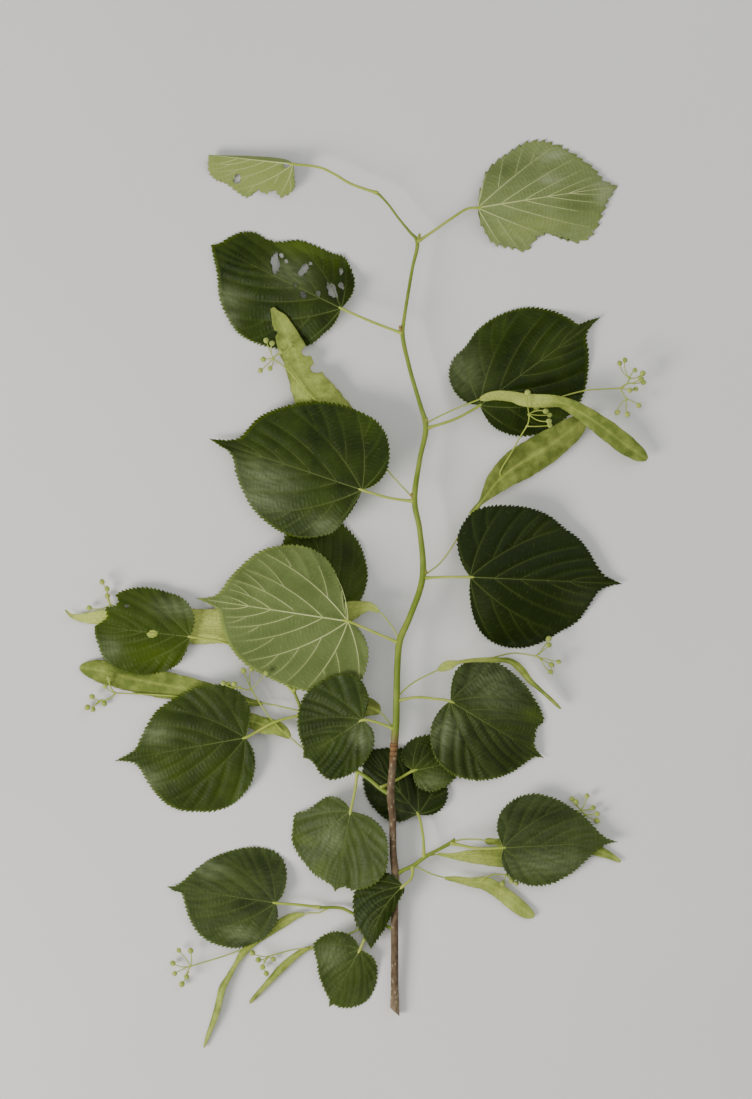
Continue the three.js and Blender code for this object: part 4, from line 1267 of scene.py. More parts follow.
    def lift(self, flat: Array, distance: Array, share: Array) -> Array:
        """Height with the quilting and rungs between the veins and the waves of the margin.

        Args:
            flat: rows of [along, across].
            distance: from each to the nearest vein.
            share: of the way from the joint to the margin.

        Returns:
            A height for each row.
        """
        seed = int(abs(self.joint[1]) * 3) + 2
        puff = self.quilt * (0.5 - bell(distance / 2.2))
        if self.underside:
            puff = -0.7 * puff
        turn = np.arctan2(flat[:, 1], flat[:, 0]) * 5
        waves = self.wave * share**3 * wobble(turn, seed, 6)
        broad = 0.5 * wobble(flat[:, 0] / 9 + 0.5 * wobble(flat[:, 1] / 11, seed + 1), seed + 2)
        rungs = np.sin(TAU * np.hypot(*flat.T) / RUNG_PITCH + 2.5 * wobble(turn, seed + 3, 5))
        rungs *= self.ladder * smoothstep(0.3, 1.6, distance) * smoothstep(0.08, 0.25, share)
        height = self.height(flat) + puff * smoothstep(0, 0.12, share) + waves + broad * share
        return np.maximum(height + rungs, LOWEST_POINT)

    def tint(self, flat: Array, distance: Array, share: Array) -> Array:
        """What the finishes read: how bright (partly painted light), how much painted sheen (grey) and
        painted shade (dark), and how near to a vein.

        Args:
            flat: rows of [along, across].
            distance: from each to the nearest vein.
            share: of the way from the joint to the margin.

        Returns:
            (n, 4) rows.
        """
        tint = np.zeros((len(flat), 4))
        # The tone lays brighter green, painted sheen and painted shade over the whole blade; the spots
        # add them in soft patches.
        tint[:, :3] = self.tone
        for column, spots in enumerate((self.bright, self.grey, self.dark)):
            for along, across, long, wide in spots:
                off = (((flat - [along, across]) / [long, wide]) ** 2).sum(1)
                shade = SPOT_STRENGTHS[column] * np.exp(-0.8 * off)
                tint[:, column] = np.maximum(tint[:, column], shade)
        # The margin's ring takes at least half of the bright column.
        tint[share == 1, 0] = np.maximum(tint[share == 1, 0], 0.5)
        tint[:, 3] = bell(distance / 0.9)
        return tint

    def blade(self) -> tuple[list[Patch], Array, Array]:
        """The blade on rays from its joint, with the skin left in its windows.

        Returns:
            The patches, the vein plan and its girths.
        """
        toothed, plain = self.outline()
        shares = np.append(np.linspace(LAST_RING / self.rings, LAST_RING, self.rings), 1.0)
        flat = np.concatenate([[[0.0, 0.0]]] + [plain * s for s in shares[:-1]] + [toothed])
        count = len(plain)
        share = np.concatenate([[0.0], np.repeat(shares, count)])
        lines, girths = self.veins()

        first = 1 + np.arange(count)
        fan = np.stack([0 * first[1:], first[1:], first[:-1], first[:-1]], -1)
        faces = np.concatenate([fan, grid_faces(len(shares), count, 1)])
        skins = []
        for number, hole in enumerate((*self.holes, *self.windows)):
            faces, inside = self.pierce(flat, faces, hole)
            if number >= len(self.holes):
                skins.append(inside)

        distance = self.nearness(flat, lines)
        height = self.lift(flat, distance, share)
        points = np.column_stack([self.place(flat), height])
        tint = self.tint(flat, distance, share)
        closed, parts = shell(points, faces, BLADE_THICKNESS, LeafFinish.FACE_DOWN)
        patches = [Patch(closed, parts, np.tile(flat, (2, 1)), np.tile(tint, (2, 1)))]
        # Painted light: the pale skins stand in for the lit bract that shows through the windows.
        for inside in skins:
            used, corners = np.unique(inside, return_inverse=True)
            quads = corners.reshape(-1, 4)
            skin, parts = shell(points[used], quads, SKIN_THICKNESS, LeafFinish.STALK)
            parts[0].finish = LeafFinish.STALK
            patches.append(Patch(skin, parts))
        return patches, lines, girths

    @staticmethod
    def pierce(flat: Array, faces: Array, hole: Numbers) -> tuple[Array, Array]:
        """Takes out the faces inside an elliptic hole, and moves its rim's points on to it.

        Args:
            flat: rows of [along, across], whose rim rows are moved.
            faces: of the blade.
            hole: [along, across, half length, half width, degrees].

        Returns:
            The faces outside the hole, and those inside.
        """
        along, across, long, wide, degrees = hole
        turn = math.radians(degrees)
        axes = np.array([[math.cos(turn), -math.sin(turn)], [math.sin(turn), math.cos(turn)]])
        local = (flat - [along, across]) @ axes / [long, wide]
        far = np.linalg.norm(local, axis=1)
        inside = far[faces].mean(1) < 1
        if not inside.any():
            return faces, faces[:0]
        rim = np.intersect1d(faces[inside], faces[~inside])
        angle = np.arctan2(local[rim, 1], local[rim, 0])
        reach = 1 + 0.26 * wobble(angle * 3, round(abs(along) * 10))
        local[rim] *= (reach / np.maximum(far[rim], 1e-6))[:, None]
        flat[rim] = (local[rim] * [long, wide]) @ axes.T + [along, across]
        return faces[~inside], faces[inside]

    def ribs(self, lines: Array, girths: Array) -> Patch:
        """The veins as thin tapering tubes, half sunk in the blade's upper face.

        Args:
            lines: the vein plan.
            girths: of its veins beside the midrib's.

        Returns:
            One patch with all the tubes.
        """
        count = len(lines)
        rows = lines.reshape(-1, 2)
        share = np.tile(np.linspace(0, 0.9, VEIN_POINTS), count)
        height = self.lift(rows, np.zeros(len(rows)), share)
        girth, end = (0.5, 0.05) if self.underside else (0.24, 0.01)
        radii = end + (girth - end) * np.linspace(1, 0, VEIN_POINTS) ** 0.8 * girths[:, None]
        centres = np.column_stack([self.place(rows), height]).reshape(count, VEIN_POINTS, 3)
        rise = 0.1 if self.underside else -0.45
        centres[..., 2] += BLADE_THICKNESS / 2 + rise * radii
        patch = tubes(centres, radii, RIB_SIDES, LeafFinish.RIB)
        faded = self.fade * (1 - girths[:, None] * np.linspace(1, 0.3, VEIN_POINTS))
        patch.tint = np.zeros((len(patch.points), 4))
        patch.tint[:, 1] = np.concatenate([np.repeat(faded, RIB_SIDES), faded[:, [0, -1]].ravel()])
        return patch

    def stalk(self) -> Patch:
        """The petiole: from inside its limb, flared at the foot, on under the midrib.

        Returns:
            One closed tube.
        """
        root = LIMBS[self.petiole.limb].centre_near(self.petiole.at)[:3]
        into = np.array([[0.0, 0.0], [6.0, 0.0]])
        sunk = [-0.1, 0.1] if self.underside else [0.4, 1.5]
        blade = np.column_stack([self.place(into), self.height(into) - sunk])
        knots = np.vstack([root, self.petiole.via, blade])
        path = even_path(knots, 1.2)
        run = run_along(path)
        joint = run[-1] - into[1, 0]
        radii = PETIOLE_RADIUS + 0.5 * bell(run / 3.5) - 0.16 * run / run[-1]
        radii += 0.14 * bell((joint - run) / 3)
        radii *= 1 - 0.55 * smoothstep(joint, run[-1], run)
        return tubes(path[None], radii[None], 14, LeafFinish.STALK)

    def build(self, finishes: list[Material]) -> None:
        """Builds the leaf as one piece.

        Args:
            finishes: in the order of LeafFinish.
        """
        patches, lines, girths = self.blade()
        patches += [self.ribs(lines, girths), self.stalk()]
        add_piece(f"{self.name}_leaf", patches, finishes, f"leaf_{self.name}")


# ---- bracts ----


RIB_SINK = 0.06
# Radii of a bract's stalk: at its foot, 3 mm on, where the ribbon starts, 12 mm on, at its end.
BRACT_STALK_RADII = (0.9, 0.5, 0.46, 0.32, 0.14)
PEDUNCLE_RADIUS = 0.46
FORK_RADIUS = 0.42
PEDICEL_RADIUS = 0.32
FRUIT_RADII = (1.5, 1.85)
FRUIT_SIDES = 20


@dataclass(frozen=True)
class Spray:
    """A fork of the fruit stalk, and the places of its fruits."""

    knot: Numbers
    fruits: tuple[Numbers, ...]


@dataclass(frozen=True)
class Bract:
    """A bract: a narrow ribbon on a stalk, and the fruit stalk that leaves its midrib.

    Attributes:
        name: of the bract.
        limb: that carries it, and at: where.
        stalk: the points between the limb and the ribbon.
        ribbon: rows of [x, y, z, half width, roll in degrees] from foot to tip.
        peduncle: points of the fruit stalk after it leaves the ribbon's midrib.
        sprays: its forks.
        notches: [share of the run, side, half length, depth] of what is eaten away.
        tone: how bright, green and brown the ribbon is, and foot_tone: the same at its foot.
        columns: of points across the ribbon.
    """

    name: str
    limb: str
    at: Numbers
    stalk: tuple[Numbers, ...]
    ribbon: tuple[Numbers, ...]
    peduncle: tuple[Numbers, ...] = ()
    sprays: tuple[Spray, ...] = ()
    notches: tuple[Numbers, ...] = ()
    tone: Numbers = (0, 0, 0)
    foot_tone: Numbers = ()
    columns: int = 17

    def paper(self) -> tuple[Patch, Array]:
        """The ribbon, with its net-veined faces and wavy margins.

        A point is the spine's, plus the half width times its column, -1 to 1, along a level
        direction turned about the spine by the roll. The margins wave and the ribbon cups a
        little. The half width's square is what runs smoothly, so that both ends are round.

        Returns:
            The ribbon, and the rows of places its midrib runs through.
        """
        rows = np.array(self.ribbon, dtype=float)
        rows[:, 3] **= 2
        path = even_path(rows, 0.9)
        run = run_along(path[:, :3])[:, None]
        share = run / run[-1]
        half = np.sqrt(np.maximum(path[:, 3:4], 0.03))
        _, level, over = frames_along(path[None, :, :3])
        roll = np.radians(path[:, 4:])
        across = np.cos(roll) * level[0] - np.sin(roll) * over[0]
        facing = np.sin(roll) * level[0] + np.cos(roll) * over[0]
        column = np.sin(np.linspace(-math.pi / 2, math.pi / 2, self.columns))[None, :]
        seed = len(self.name) * 3 + len(self.ribbon)
        reach = np.repeat(half, self.columns, 1)
        reach *= 1 + 0.03 * wobble(run / 2.3 + 9 * np.sign(column), seed)
        for at, side, long, depth in self.notches:
            inside = np.clip(1 - ((share - at) * run[-1] / long) ** 2, 0, 1) ** 0.5
            bite = np.where(column * side > 0, depth * inside, 0)
            reach -= np.minimum(bite, 0.85 * reach)
        offset = column * reach
        lift = 0.07 * half * (1 - column**2)
        lift += 0.07 * half * column**2 * wobble(run / 5 + 4 * np.sign(column), seed + 1)
        lift += 0.16 * wobble(run / 1.6 + column * 2, seed + 2) * (1 - column**2)
        lift -= 0.25 * bell(offset / 0.8)
        points = path[:, None, :3] + offset[..., None] * across[:, None]
        points += lift[..., None] * facing[:, None]
        points[..., 2] = np.maximum(points[..., 2], LOWEST_POINT)
        plane = np.stack([run + 0 * column, offset], -1).reshape(-1, 2)
        tint = self.tint(column, share, offset)
        faces = grid_faces(len(path), self.columns)
        closed, parts = shell(points.reshape(-1, 3), faces, RIBBON_THICKNESS, 0)
        patch = Patch(closed, parts, np.tile(plane, (2, 1)), np.tile(tint, (2, 1)))
        rib = points[:, self.columns // 2] - facing * RIB_SINK
        return patch, rib

    def tint(self, column: Array, share: Array, offset: Array) -> Array:
        """What the finish reads: how bright, green and brown, and how near to the midrib.

        Args:
            column: of the points, from -1 to 1, as a row.
            share: of the way from foot to tip, as a column.
            offset: of each point from the midrib.

        Returns:
            (n, 4) rows.
        """
        tint = np.zeros((offset.size, 4))
        ripe = smoothstep(0.25, 0.55, share + 0 * column).reshape(-1, 1)
        tint[:, :3] = ripe * np.array(self.tone) + (1 - ripe) * np.array(self.foot_tone or self.tone)
        tint[:, 2] = np.maximum(tint[:, 2], 0.5 * (np.abs(column) ** 12 + 0 * share).ravel())
        tint[:, 3] = bell(offset / 0.9).ravel()
        return tint

    def stalks(self, rib: Array) -> Patch:
        """The stalk from inside the limb, and the ribbon's midrib it runs into.

        Args:
            rib: places the midrib runs through.

        Returns:
            One closed tube.
        """
        root = LIMBS[self.limb].centre_near(self.at)[:3]
        stalk = even_path(np.vstack([root, self.stalk, rib[1]]), 1.4)
        path = np.concatenate([stalk, rib[2:-2:2]])
        run = run_along(path)
        foot = run[-1] - run_along(rib)[-1]
        radii = np.interp(run, [0, 3, foot, foot + 12, run[-1]], BRACT_STALK_RADII)
        return tubes(path[None], radii[None], 10, 1)

    def fruit_patches(self, rib: Array) -> list[Patch]:
        """The fruit stalk with its forks, the pedicels, the knots they leave and the fruits.

        Args:
            rib: places the midrib runs through.

        Returns:
            Their patches.
        """
        draw = np.random.default_rng(len(self.name) + len(self.sprays) * 5)
        patches = []
        forks = np.array([spray.knot for spray in self.sprays], dtype=float)
        if self.peduncle:
            root = rib[np.argmin(np.linalg.norm(rib - np.array(self.peduncle[0]), axis=1))]
            path = even_path(np.vstack([root - [0, 0, 0.2], self.peduncle, forks[0]]), 1.4)
            patches.append(tubes(path[None], np.full((1, len(path)), PEDUNCLE_RADIUS), 10))
        if len(forks) > 1:
            main = np.repeat(forks[:1], len(forks) - 1, 0)
            patches.append(self.strands(main, forks[1:], FORK_RADIUS, draw))
        starts = np.repeat(forks, [len(spray.fruits) for spray in self.sprays], 0)
        ends = np.array([fruit for spray in self.sprays for fruit in spray.fruits], dtype=float)
        patches.append(self.strands(starts, ends, PEDICEL_RADIUS, draw))
        t = np.linspace(0, math.pi, 9)
        centres = forks[:, None] + np.outer(-np.cos(t), [0.8, 0.6, 0.1])[None]
        swell = 0.7 * np.sin(t) + 0.01
        patches.append(tubes(centres, np.repeat(swell[None], len(forks), 0), 10))
        patches.append(self.fruits(starts, ends, draw))
        return patches

    @staticmethod
    def strands(starts: Array, ends: Array, radius: float, draw: np.random.Generator) -> Patch:
        """Thin stalks, each a parabola bowed a little to one side and up.

        Args:
            starts: rows of their first places.
            ends: rows of their last places.
            radius: in their middle.
            draw: where the bows come from.

        Returns:
            One patch with all of them.
        """
        t = np.linspace(0, 1, 9)[None, :, None]
        span = ends - starts
        side = np.cross(span, UP) * draw.uniform(-0.14, 0.14, (len(starts), 1))
        bow = 4 * t * (1 - t) * (side[:, None] + [0, 0, 0.25])
        centres = starts[:, None] + t * span[:, None] + bow
        radii = radius * (1 + 0.5 * np.abs(2 * t[..., 0] - 1) ** 6) + np.zeros((len(starts), 1))
        return tubes(centres, radii, 8)

    @staticmethod
    def fruits(starts: Array, ends: Array, draw: np.random.Generator) -> Patch:
        """Balls with five low ribs and a nib, each about the line its pedicel comes in on.

        Args:
            starts: rows of the pedicels' first places.
            ends: rows of the balls' middles.
            draw: where sizes and turns come from.

        Returns:
            One patch with all of them.
        """
        turn = np.linspace(0, math.pi, 17)
        way = unit((ends - starts) * [1, 1, 0.5])
        size = draw.uniform(*FRUIT_RADII, len(starts))
        along = -np.cos(turn) * 1.04
        along[-1] += 0.2
        centres = ends[:, None] + size[:, None, None] * along[None, :, None] * way[:, None]
        angle = np.linspace(0, TAU, FRUIT_SIDES, endpoint=False)
        ribs = 1 + 0.035 * np.cos(5 * angle + draw.uniform(0, TAU, (len(starts), 1)))
        girth = np.maximum(np.sin(turn), 0.05)
        girth[-2:] = [0.12, 0.05]
        radii = size[:, None, None] * girth[None, :, None] * ribs[:, None]
        patch = tubes(centres, radii, FRUIT_SIDES, 1)
        tint = np.zeros((len(patch.points), 4))
        tip = smoothstep(0.93, 1.0, -np.cos(turn))
        dark = np.broadcast_to(tip[None, :, None], radii.shape).ravel()
        tint[: len(dark), 2] = dark
        tint[len(dark) + 1 :: 2, 2] = 1
        patch.tint = tint
        return patch

    def build(self, paper: list[Material], fruit: list[Material]) -> None:
        """Builds the bract, and its fruits as a piece of their own.

        Args:
            paper: finishes of the ribbon and its stalk.
            fruit: finishes of the fruit stalks and the fruits.
        """
        ribbon, rib = self.paper()
        node = f"bract_{self.name}"
        add_piece(f"{self.name}_bract", [ribbon, self.stalks(rib)], paper, node)
        if self.sprays:
            add_piece(f"{self.name}_fruit", self.fruit_patches(rib), fruit, node)


# ---- this branch's own sizes ----


WOOD = OldWood(
    node="main_stem_old_wood", sides=56, step=0.45,
    line=(
        (23.8, -260, 3, 2.9), (23.7, -245, 4.2, 2.4), (23.7, -225, 5.4, 2.35), (23.7, -204, 6.5, 2.3),
        (23.8, -189, 7.6, 2.3), (24.2, -175, 9.6, 2.45), (22.9, -161, 12, 2.2),
        (22.4, -138.5, 14.5, 2.2), (21.2, -124, 15.7, 2.4), (22.4, -105.5, 16.6, 2.2),
        (23.3, -92, 17.2, 2.5),
    ),
)
GREEN = GreenShoot(
    node="main_stem_green_shoot", name="green_shoot", browned=0.9, sides=36, step=0.7,
    line=(
        (23.6, -92.5, 17.2, 2.3), (23.8, -87.5, 17.4, 2.45), (24.5, -79, 17.8, 2.15),
        (24.9, -61.5, 18.4, 2.1), (25.4, -43, 18.8, 2), (26.8, -28.5, 19, 2.15),
        (33.5, -12.5, 19.2, 1.9), (41, 11, 19.3, 2), (39.2, 40.5, 18.8, 1.7), (36, 58.5, 18.4, 1.85),
        (39.2, 84, 17.5, 1.55), (43, 104.5, 16.8, 1.7), (39.4, 118.5, 16.3, 1.4),
        (33.2, 140, 15.8, 1.3), (28.6, 162, 15.2, 1.4), (29.5, 171, 15, 1.15), (34.5, 202, 14.2, 1.05),
        (37.6, 220, 13.8, 1.2), (33.2, 225.5, 13.6, 0.9), (27, 233, 13.3, 0.8), (19.6, 243, 12.8, 0.75),
        (13.4, 249.7, 12.4, 0.9),
    ),
    buds=(
        (27.3, 164.6, 16.2, 100), (43.2, 107.6, 17.4, 75), (38.6, 222, 14.6, 70),
        (34.6, 60.6, 18.8, 105), (42.4, 13.2, 19.8, 70),
    ),
)
LEFT_SHOOT = GreenShoot(
    node="side_shoot_left", name="left_side_shoot", on="wood", at=(21.2, -124),
    line=(
        (14.6, -120, 14.2, 1.2), (7.8, -114.5, 12.2, 1.1), (0.3, -109.5, 10.6, 1.2),
        (-13.4, -97, 9.2, 1), (-24, -84.5, 8.6, 1), (-33.2, -73.5, 8.3, 1.1), (-37, -65, 8, 0.95),
        (-41.3, -53.5, 7.4, 0.95),
    ),
)
RIGHT_SHOOT = GreenShoot(
    node="side_shoot_right", name="right_side_shoot", on="wood", at=(24.2, -174),
    line=(
        (29.5, -171, 10.4, 1.25), (35, -168.5, 11.2, 1.3), (43.2, -162.5, 12, 1.25),
        (50.6, -158.5, 12, 1.05), (58.7, -154, 11.5, 1.15), (61.2, -151.5, 11.6, 0.6),
    ),
)
LOW_SHOOT = GreenShoot(
    node="side_shoot_low", name="low_side_shoot", on="wood", at=(23.7, -208),
    line=(
        (17.1, -206, 5.4, 1), (10.2, -202.5, 4.4, 1), (-1.6, -199, 3.6, 0.95),
        (-9.6, -195.5, 3.6, 1.05), (-22.7, -195, 3.6, 0.9),
    ),
)
LIMBS = {"wood": WOOD, "green": GREEN, "left": LEFT_SHOOT, "right": RIGHT_SHOOT, "low": LOW_SHOOT}

# In each leaf, grey spots are painted sheen, dark spots are painted shade and bright spots are a
# brighter green that is partly painted light; tone lays the same over the whole blade.
LEAVES = (
    Leaf(
        "top_left", joint=(-39.4, 268, 11), tip=(-92.2, 274.5, 4),
        left=Half(-2, (
            (-1.5, 7.5), (-2, 15), (5, 20.5), (10, 17), (15.5, 19.5), (20.5, 18), (26.5, 23),
            (33, 20.5), (39.5, 16.5), (47, 14.5), (51, 11.5), (53, 6),
        )),
        right=Half(4, ((4, 2.5), (16.5, 3), (31, 2), (45, 0.5)), teeth=0), underside=True,
        tooth=3.4, depth=1.3, tone=(0.45, 0.15, 0), fade=0.3,
        holes=((3.3, 1.3, 3.1, 1.2, 7), (33.8, 12.6, 3.1, 2.2, 97)), bright=((19, 13, 31, 7),),
        petiole=Petiole("green", (13.4, 249.7), (
            (-4, 255.9, 12), (-13.4, 261.5, 11.8), (-22.7, 265.8, 11.5),
        )),
    ),
    Leaf(
        "top_right", joint=(75.5, 241, 10), tip=(163, 255.3, 1),
        left=Half(-3, (
            (2.5, 9), (5.5, 14), (8, 20), (13.5, 25.5), (24, 31), (39, 36.5), (53, 33), (64.5, 24.5),
            (76, 13), (80.5, 5),
        )),
        right=Half(-3, (
            (0, 6.5), (1.5, 12.5), (6, 22.5), (16, 27), (26.5, 30.5), (32, 25), (39.5, 22), (50, 27),
            (59, 30.5), (68, 27.5), (74, 19.5), (80.5, 9),
        )),
        underside=True, arch=3, tooth=5.6, depth=1.9, straight=True, tone=(0.15, 0.25, 0), fade=0.15,
        holes=((22, -0.4, 1.6, 1.6, 81),),
        bright=((30, -17, 26, 8),), grey=((52, 25, 10, 5), (48, 10, 9, 5), (79, -2, 8, 10)),
        dark=((62, -7, 11, 8), (21, 21, 9, 5)),
        petiole=Petiole("green", (38.2, 219.9), (
            (45.7, 224.8, 13), (58.1, 233.5, 12), (69.3, 240.4, 11),
        )),
    ),
    Leaf(
        "upper_left", joint=(-9.6, 178.3, 12), tip=(-91, 218.6, 0),
        left=Half(-3, (
            (-0.5, 4.5), (0, 12), (3, 19), (7.5, 28.5), (21.5, 38), (34.5, 42), (50.5, 42), (63, 35),
            (72, 26.5), (79, 15), (85, 7.5), (89, 2.5),
        )),
        right=Half(-3, (
            (-1.5, 5.5), (-2, 12.5), (1, 20.5), (8, 27), (12.5, 30), (21, 29), (33, 28.5), (43, 27),
            (53.5, 20.5), (61, 18.5), (69.5, 19), (76.5, 16), (82.5, 9.5), (86.5, 3),
        )),
        arch=1, rings=60, fade=0.5,
        holes=(
            (49.4, -7.4, 7.5, 2.5, 116), (31.9, -11.2, 4.3, 2.5, 86), (31.9, -0.1, 2.2, 1.2, 116),
            (10, -7.5, 5.3, 2.8, 141), (10.5, -21.1, 2.5, 1.2, 116), (6.3, -12.8, 2.5, 1.6, 146),
            (25, 2.7, 2.2, 1.9, 116), (16.9, -2, 1.9, 1.6, 116), (43.9, -11.5, 1.6, 1.1, 116),
            (29.9, -17, 1.2, 1.2, 116), (48.3, -13.5, 1.9, 1.2, 116),
        ),
        bright=((43, -24, 19, 10),), grey=((67, 25, 8, 6), (60, 37, 6, 6), (37, -7, 12, 8)),
        petiole=Petiole("green", (28.3, 162.1), ((8.4, 170.2, 14),)),
    ),
    Leaf(
        "upper_right", joint=(76.7, 118, 11), tip=(152.2, 173.5, 3),
        left=Half(-3, (
            (-5, 5.5), (-7.5, 14.5), (-4.5, 26), (3.5, 33), (15, 35), (28, 39), (45, 38), (61, 31.5),
            (72.5, 20), (78, 9), (79.5, 4.5), (86, 2.5),
        )),
        right=Half(-3, (
            (-1, 4.5), (-1, 15), (3, 23.5), (10, 31), (22, 36.5), (37, 38), (49.5, 36), (59.5, 30.5),
            (67.5, 22.5), (74.5, 13.5), (79, 5), (84, 1.5),
        )),
        arch=2, tone=(0, 0, 0.2), fade=0.3,
        grey=((5, 26, 11, 14),), dark=((44, -15, 8, 7), (4, -15, 11, 9)),
        petiole=Petiole("green", (43.2, 103.1), ((61.2, 109.3, 15),)),
    ),
    Leaf(
        "left_broad", joint=(3.4, 65.2, 20), tip=(-92.2, 97.5, 3),
        left=Half(7, (
            (0.5, 6), (2, 13.5), (5, 23), (9, 30.5), (16.5, 36), (26, 40), (38, 41), (50, 38),
            (61, 32.5), (70.5, 24), (78, 15), (81.5, 8.5), (86.5, 3.5), (93, 2),
        )),
        right=Half(15, (
            (-4.5, 3.5), (-9, 10), (-10.5, 18.5), (-8.5, 28), (-3, 37.5), (5.5, 43.5), (15.5, 45.5),
            (28, 46), (41, 44), (54, 39), (66.5, 31), (75.5, 22.5), (80, 13), (83, 6.5), (90.5, 2.5),
        )),
        fade=0.25, grey=((61, 12, 18, 9), (14, 29, 9, 6), (60, 25, 17, 7)), dark=((23, -25, 12, 9),),
        petiole=Petiole("green", (36, 57.8), ((20.8, 60.2, 19.5),)),
    ),
    Leaf(
        "left_hidden", joint=(-10.2, -10.6, 5.5), tip=(-35.1, 60.9, 2.5),
        left=Half(0, (
            (-2.5, 3.5), (-3.5, 10), (0.5, 17), (7.5, 22.5), (19, 25.5), (33, 26), (45, 23), (53.5, 19),
            (60.5, 12.5), (66, 5),
        )),
        right=Half(0.5, (
            (-2, 4.5), (1, 12), (8.5, 19.5), (17.5, 24), (27, 25.5), (37.5, 25), (47, 21.5),
            (55.5, 16.5), (61.5, 10), (67, 3),
        )),
        arch=0.5, tone=(0.3, 0, 0), dark=((35, -16, 15, 12),),
        petiole=Petiole("left", (-38.8, -60.2), ((-33.9, -37.3, 6.2), (-23.9, -21.7, 5.8))),
    ),
    Leaf(
        "left_pale", joint=(-5.3, -16.1, 22), tip=(-100.3, -1.9, 9),
        left=Half(11, (
            (-5.5, 2.5), (-11.5, 8.5), (-15, 16), (-15.5, 26.5), (-13, 36), (-3.5, 43.5), (9, 46.5),
            (21, 47), (34, 45), (49, 40.5), (61, 35), (70.5, 26.5), (77, 15.5), (81.5, 5), (88.5, 2),
        )),
        right=Half(13, (
            (2.5, 7.5), (6.5, 17), (12.5, 29), (19.5, 36.5), (27.5, 40.5), (36.5, 42), (47, 40.5),
            (57, 37), (65, 31), (72, 22.5), (77.5, 14.5), (80.5, 8), (84, 3.5), (90.5, 1),
        )),
        underside=True, arch=1, fade=0.25, dark=((14, 29, 21, 9),),
        petiole=Petiole("green", (26.4, -29.2), ((9.6, -22.4, 20.5),)),
    ),
    Leaf(
        "right_broad", joint=(70.5, 11.2, 20.5), tip=(165.9, 6.8, 2),
        left=Half(13, (
            (-4, 5.5), (-7.5, 13.5), (-9, 23), (-6.5, 32), (0, 40.5), (10, 44.5), (23.5, 45.5),
            (35.5, 44.5), (47.5, 40.5), (58.5, 32.5), (67.5, 26.5), (74.5, 18), (79.5, 10), (84.5, 4.5),
            (90.5, 2),
        )),
        right=Half(-3, (
            (0, 6.5), (1.5, 18), (5, 28.5), (11, 36.5), (20, 41.5), (30, 43), (40, 41.5), (49, 37.5),
            (58, 31.5), (68, 25), (74, 16.5), (77.5, 10.5), (81.5, 4.5), (88, 1.5),
        )),
        tone=(0, 0, 1), bright=((43, 31, 11, 6),), grey=((9, -15, 7, 11), (72, -11, 12, 7)),
        dark=((54, 25, 6, 7), (35, -25, 16, 10)),
        petiole=Petiole("green", (40.7, 10.6), ((55, 11.2, 20),)),
    ),
    Leaf(
        "far_left", joint=(-103.4, -26.1, 8.5), tip=(-163.4, -19.6, 6.5),
        left=Half(5, (
            (0.5, 3.5), (2.5, 10.5), (5.5, 17), (11, 21.5), (18, 24.5), (26.5, 27), (35, 27),
            (43.5, 25), (50, 21.5), (54, 17), (57, 11), (59.5, 5),
        )),
        right=Half(5, (
            (-1, 5.5), (-1, 12), (3, 19.5), (9, 24), (17.5, 26), (28, 27.5), (38, 26.5), (45, 24),
            (49, 21), (47, 17.5), (49, 14), (54.5, 12.5), (53, 6.5), (56.5, 3),
        )),
        rings=54, tone=(0.15, 0, 0), fade=0.5, windows=((23.9, 0.7, 3.7, 2.2, 6),),
        holes=((41.6, -14.8, 1.6, 1.1, 6),),
        bright=((23, 14, 21, 9),), grey=((49, 13, 6, 6), (11, -17, 12, 5)),
        petiole=Petiole("left", (-38.8, -60.9), ((-58.7, -41.6, 6.8), (-79.8, -30.4, 6.8))),
    ),
    Leaf(
        "lower_left", joint=(-69.3, -88.8, 11), tip=(-151.2, -103.7, 1),
        left=Half(-3, (
            (-2, 4), (-3.5, 11), (-2.5, 19.5), (1.5, 28.5), (8, 35), (16, 40), (26.5, 42), (38, 40.5),
            (48.5, 37.5), (56.5, 32), (62, 24), (65.5, 16), (68.5, 7.5), (72, 3), (78, 1),
        )),
        right=Half(9.5, (
            (-2.5, 4.5), (-5, 10.5), (-6, 18), (-2.5, 27.5), (4, 33), (12.5, 36), (22.5, 36.5),
            (33.5, 34), (43, 30.5), (52, 26), (59, 18.5), (65, 10.5), (69, 5), (75.5, 2),
        )),
        arch=1, quilt=0.6, tone=(0.08, 0.04, 0),
        grey=((63, 16, 7, 7), (55, -12, 10, 6)), dark=((33, -19, 9, 6), (9, 0, 10, 10)),
        petiole=Petiole("left", (-33.2, -74.5), ((-50.6, -78.9, 10),)),
    ),
    Leaf(
        "mid_left", joint=(4, -77.3, 21), tip=(-33.2, -101.2, 13),
        left=Half(14, (
            (-1, 3.5), (-1.5, 8.5), (1, 14.5), (6.5, 19.5), (15.5, 23.5), (24.5, 24.5), (32, 23),
            (38, 20), (40.5, 14), (40.5, 8), (41.5, 3),
        )),
        right=Half(18, (
            (-5, 4), (-9.5, 8.5), (-12, 15), (-12, 22), (-8, 28.5), (-1.5, 32), (7.5, 34), (16, 34),
            (24, 31.5), (30.5, 26.5), (35.5, 20), (39, 12.5), (41, 5),
        )),
        rings=60, quilt=0.8, ladder=0.09, tone=(0, 0.06, 0),
        grey=((7, 9, 6, 8),), dark=((30, 14, 8, 8),),
        petiole=Petiole("green", (23.9, -83.2), ((14.6, -79.5, 19),)),
    ),
    Leaf(
        "mid_right", joint=(58.4, -65.8, 20), tip=(117.1, -101.9, 0),
        left=Half(7, (
            (-3, 5), (-6, 12), (-7, 19), (-4, 26.5), (3.5, 32.5), (13, 35.5), (24.5, 35), (35.5, 32.5),
            (44, 28.5), (52, 24), (56.5, 19.5), (55, 14), (57.5, 7.5), (59.5, 3.5), (64.5, 1),
        )),
        right=Half(12, (
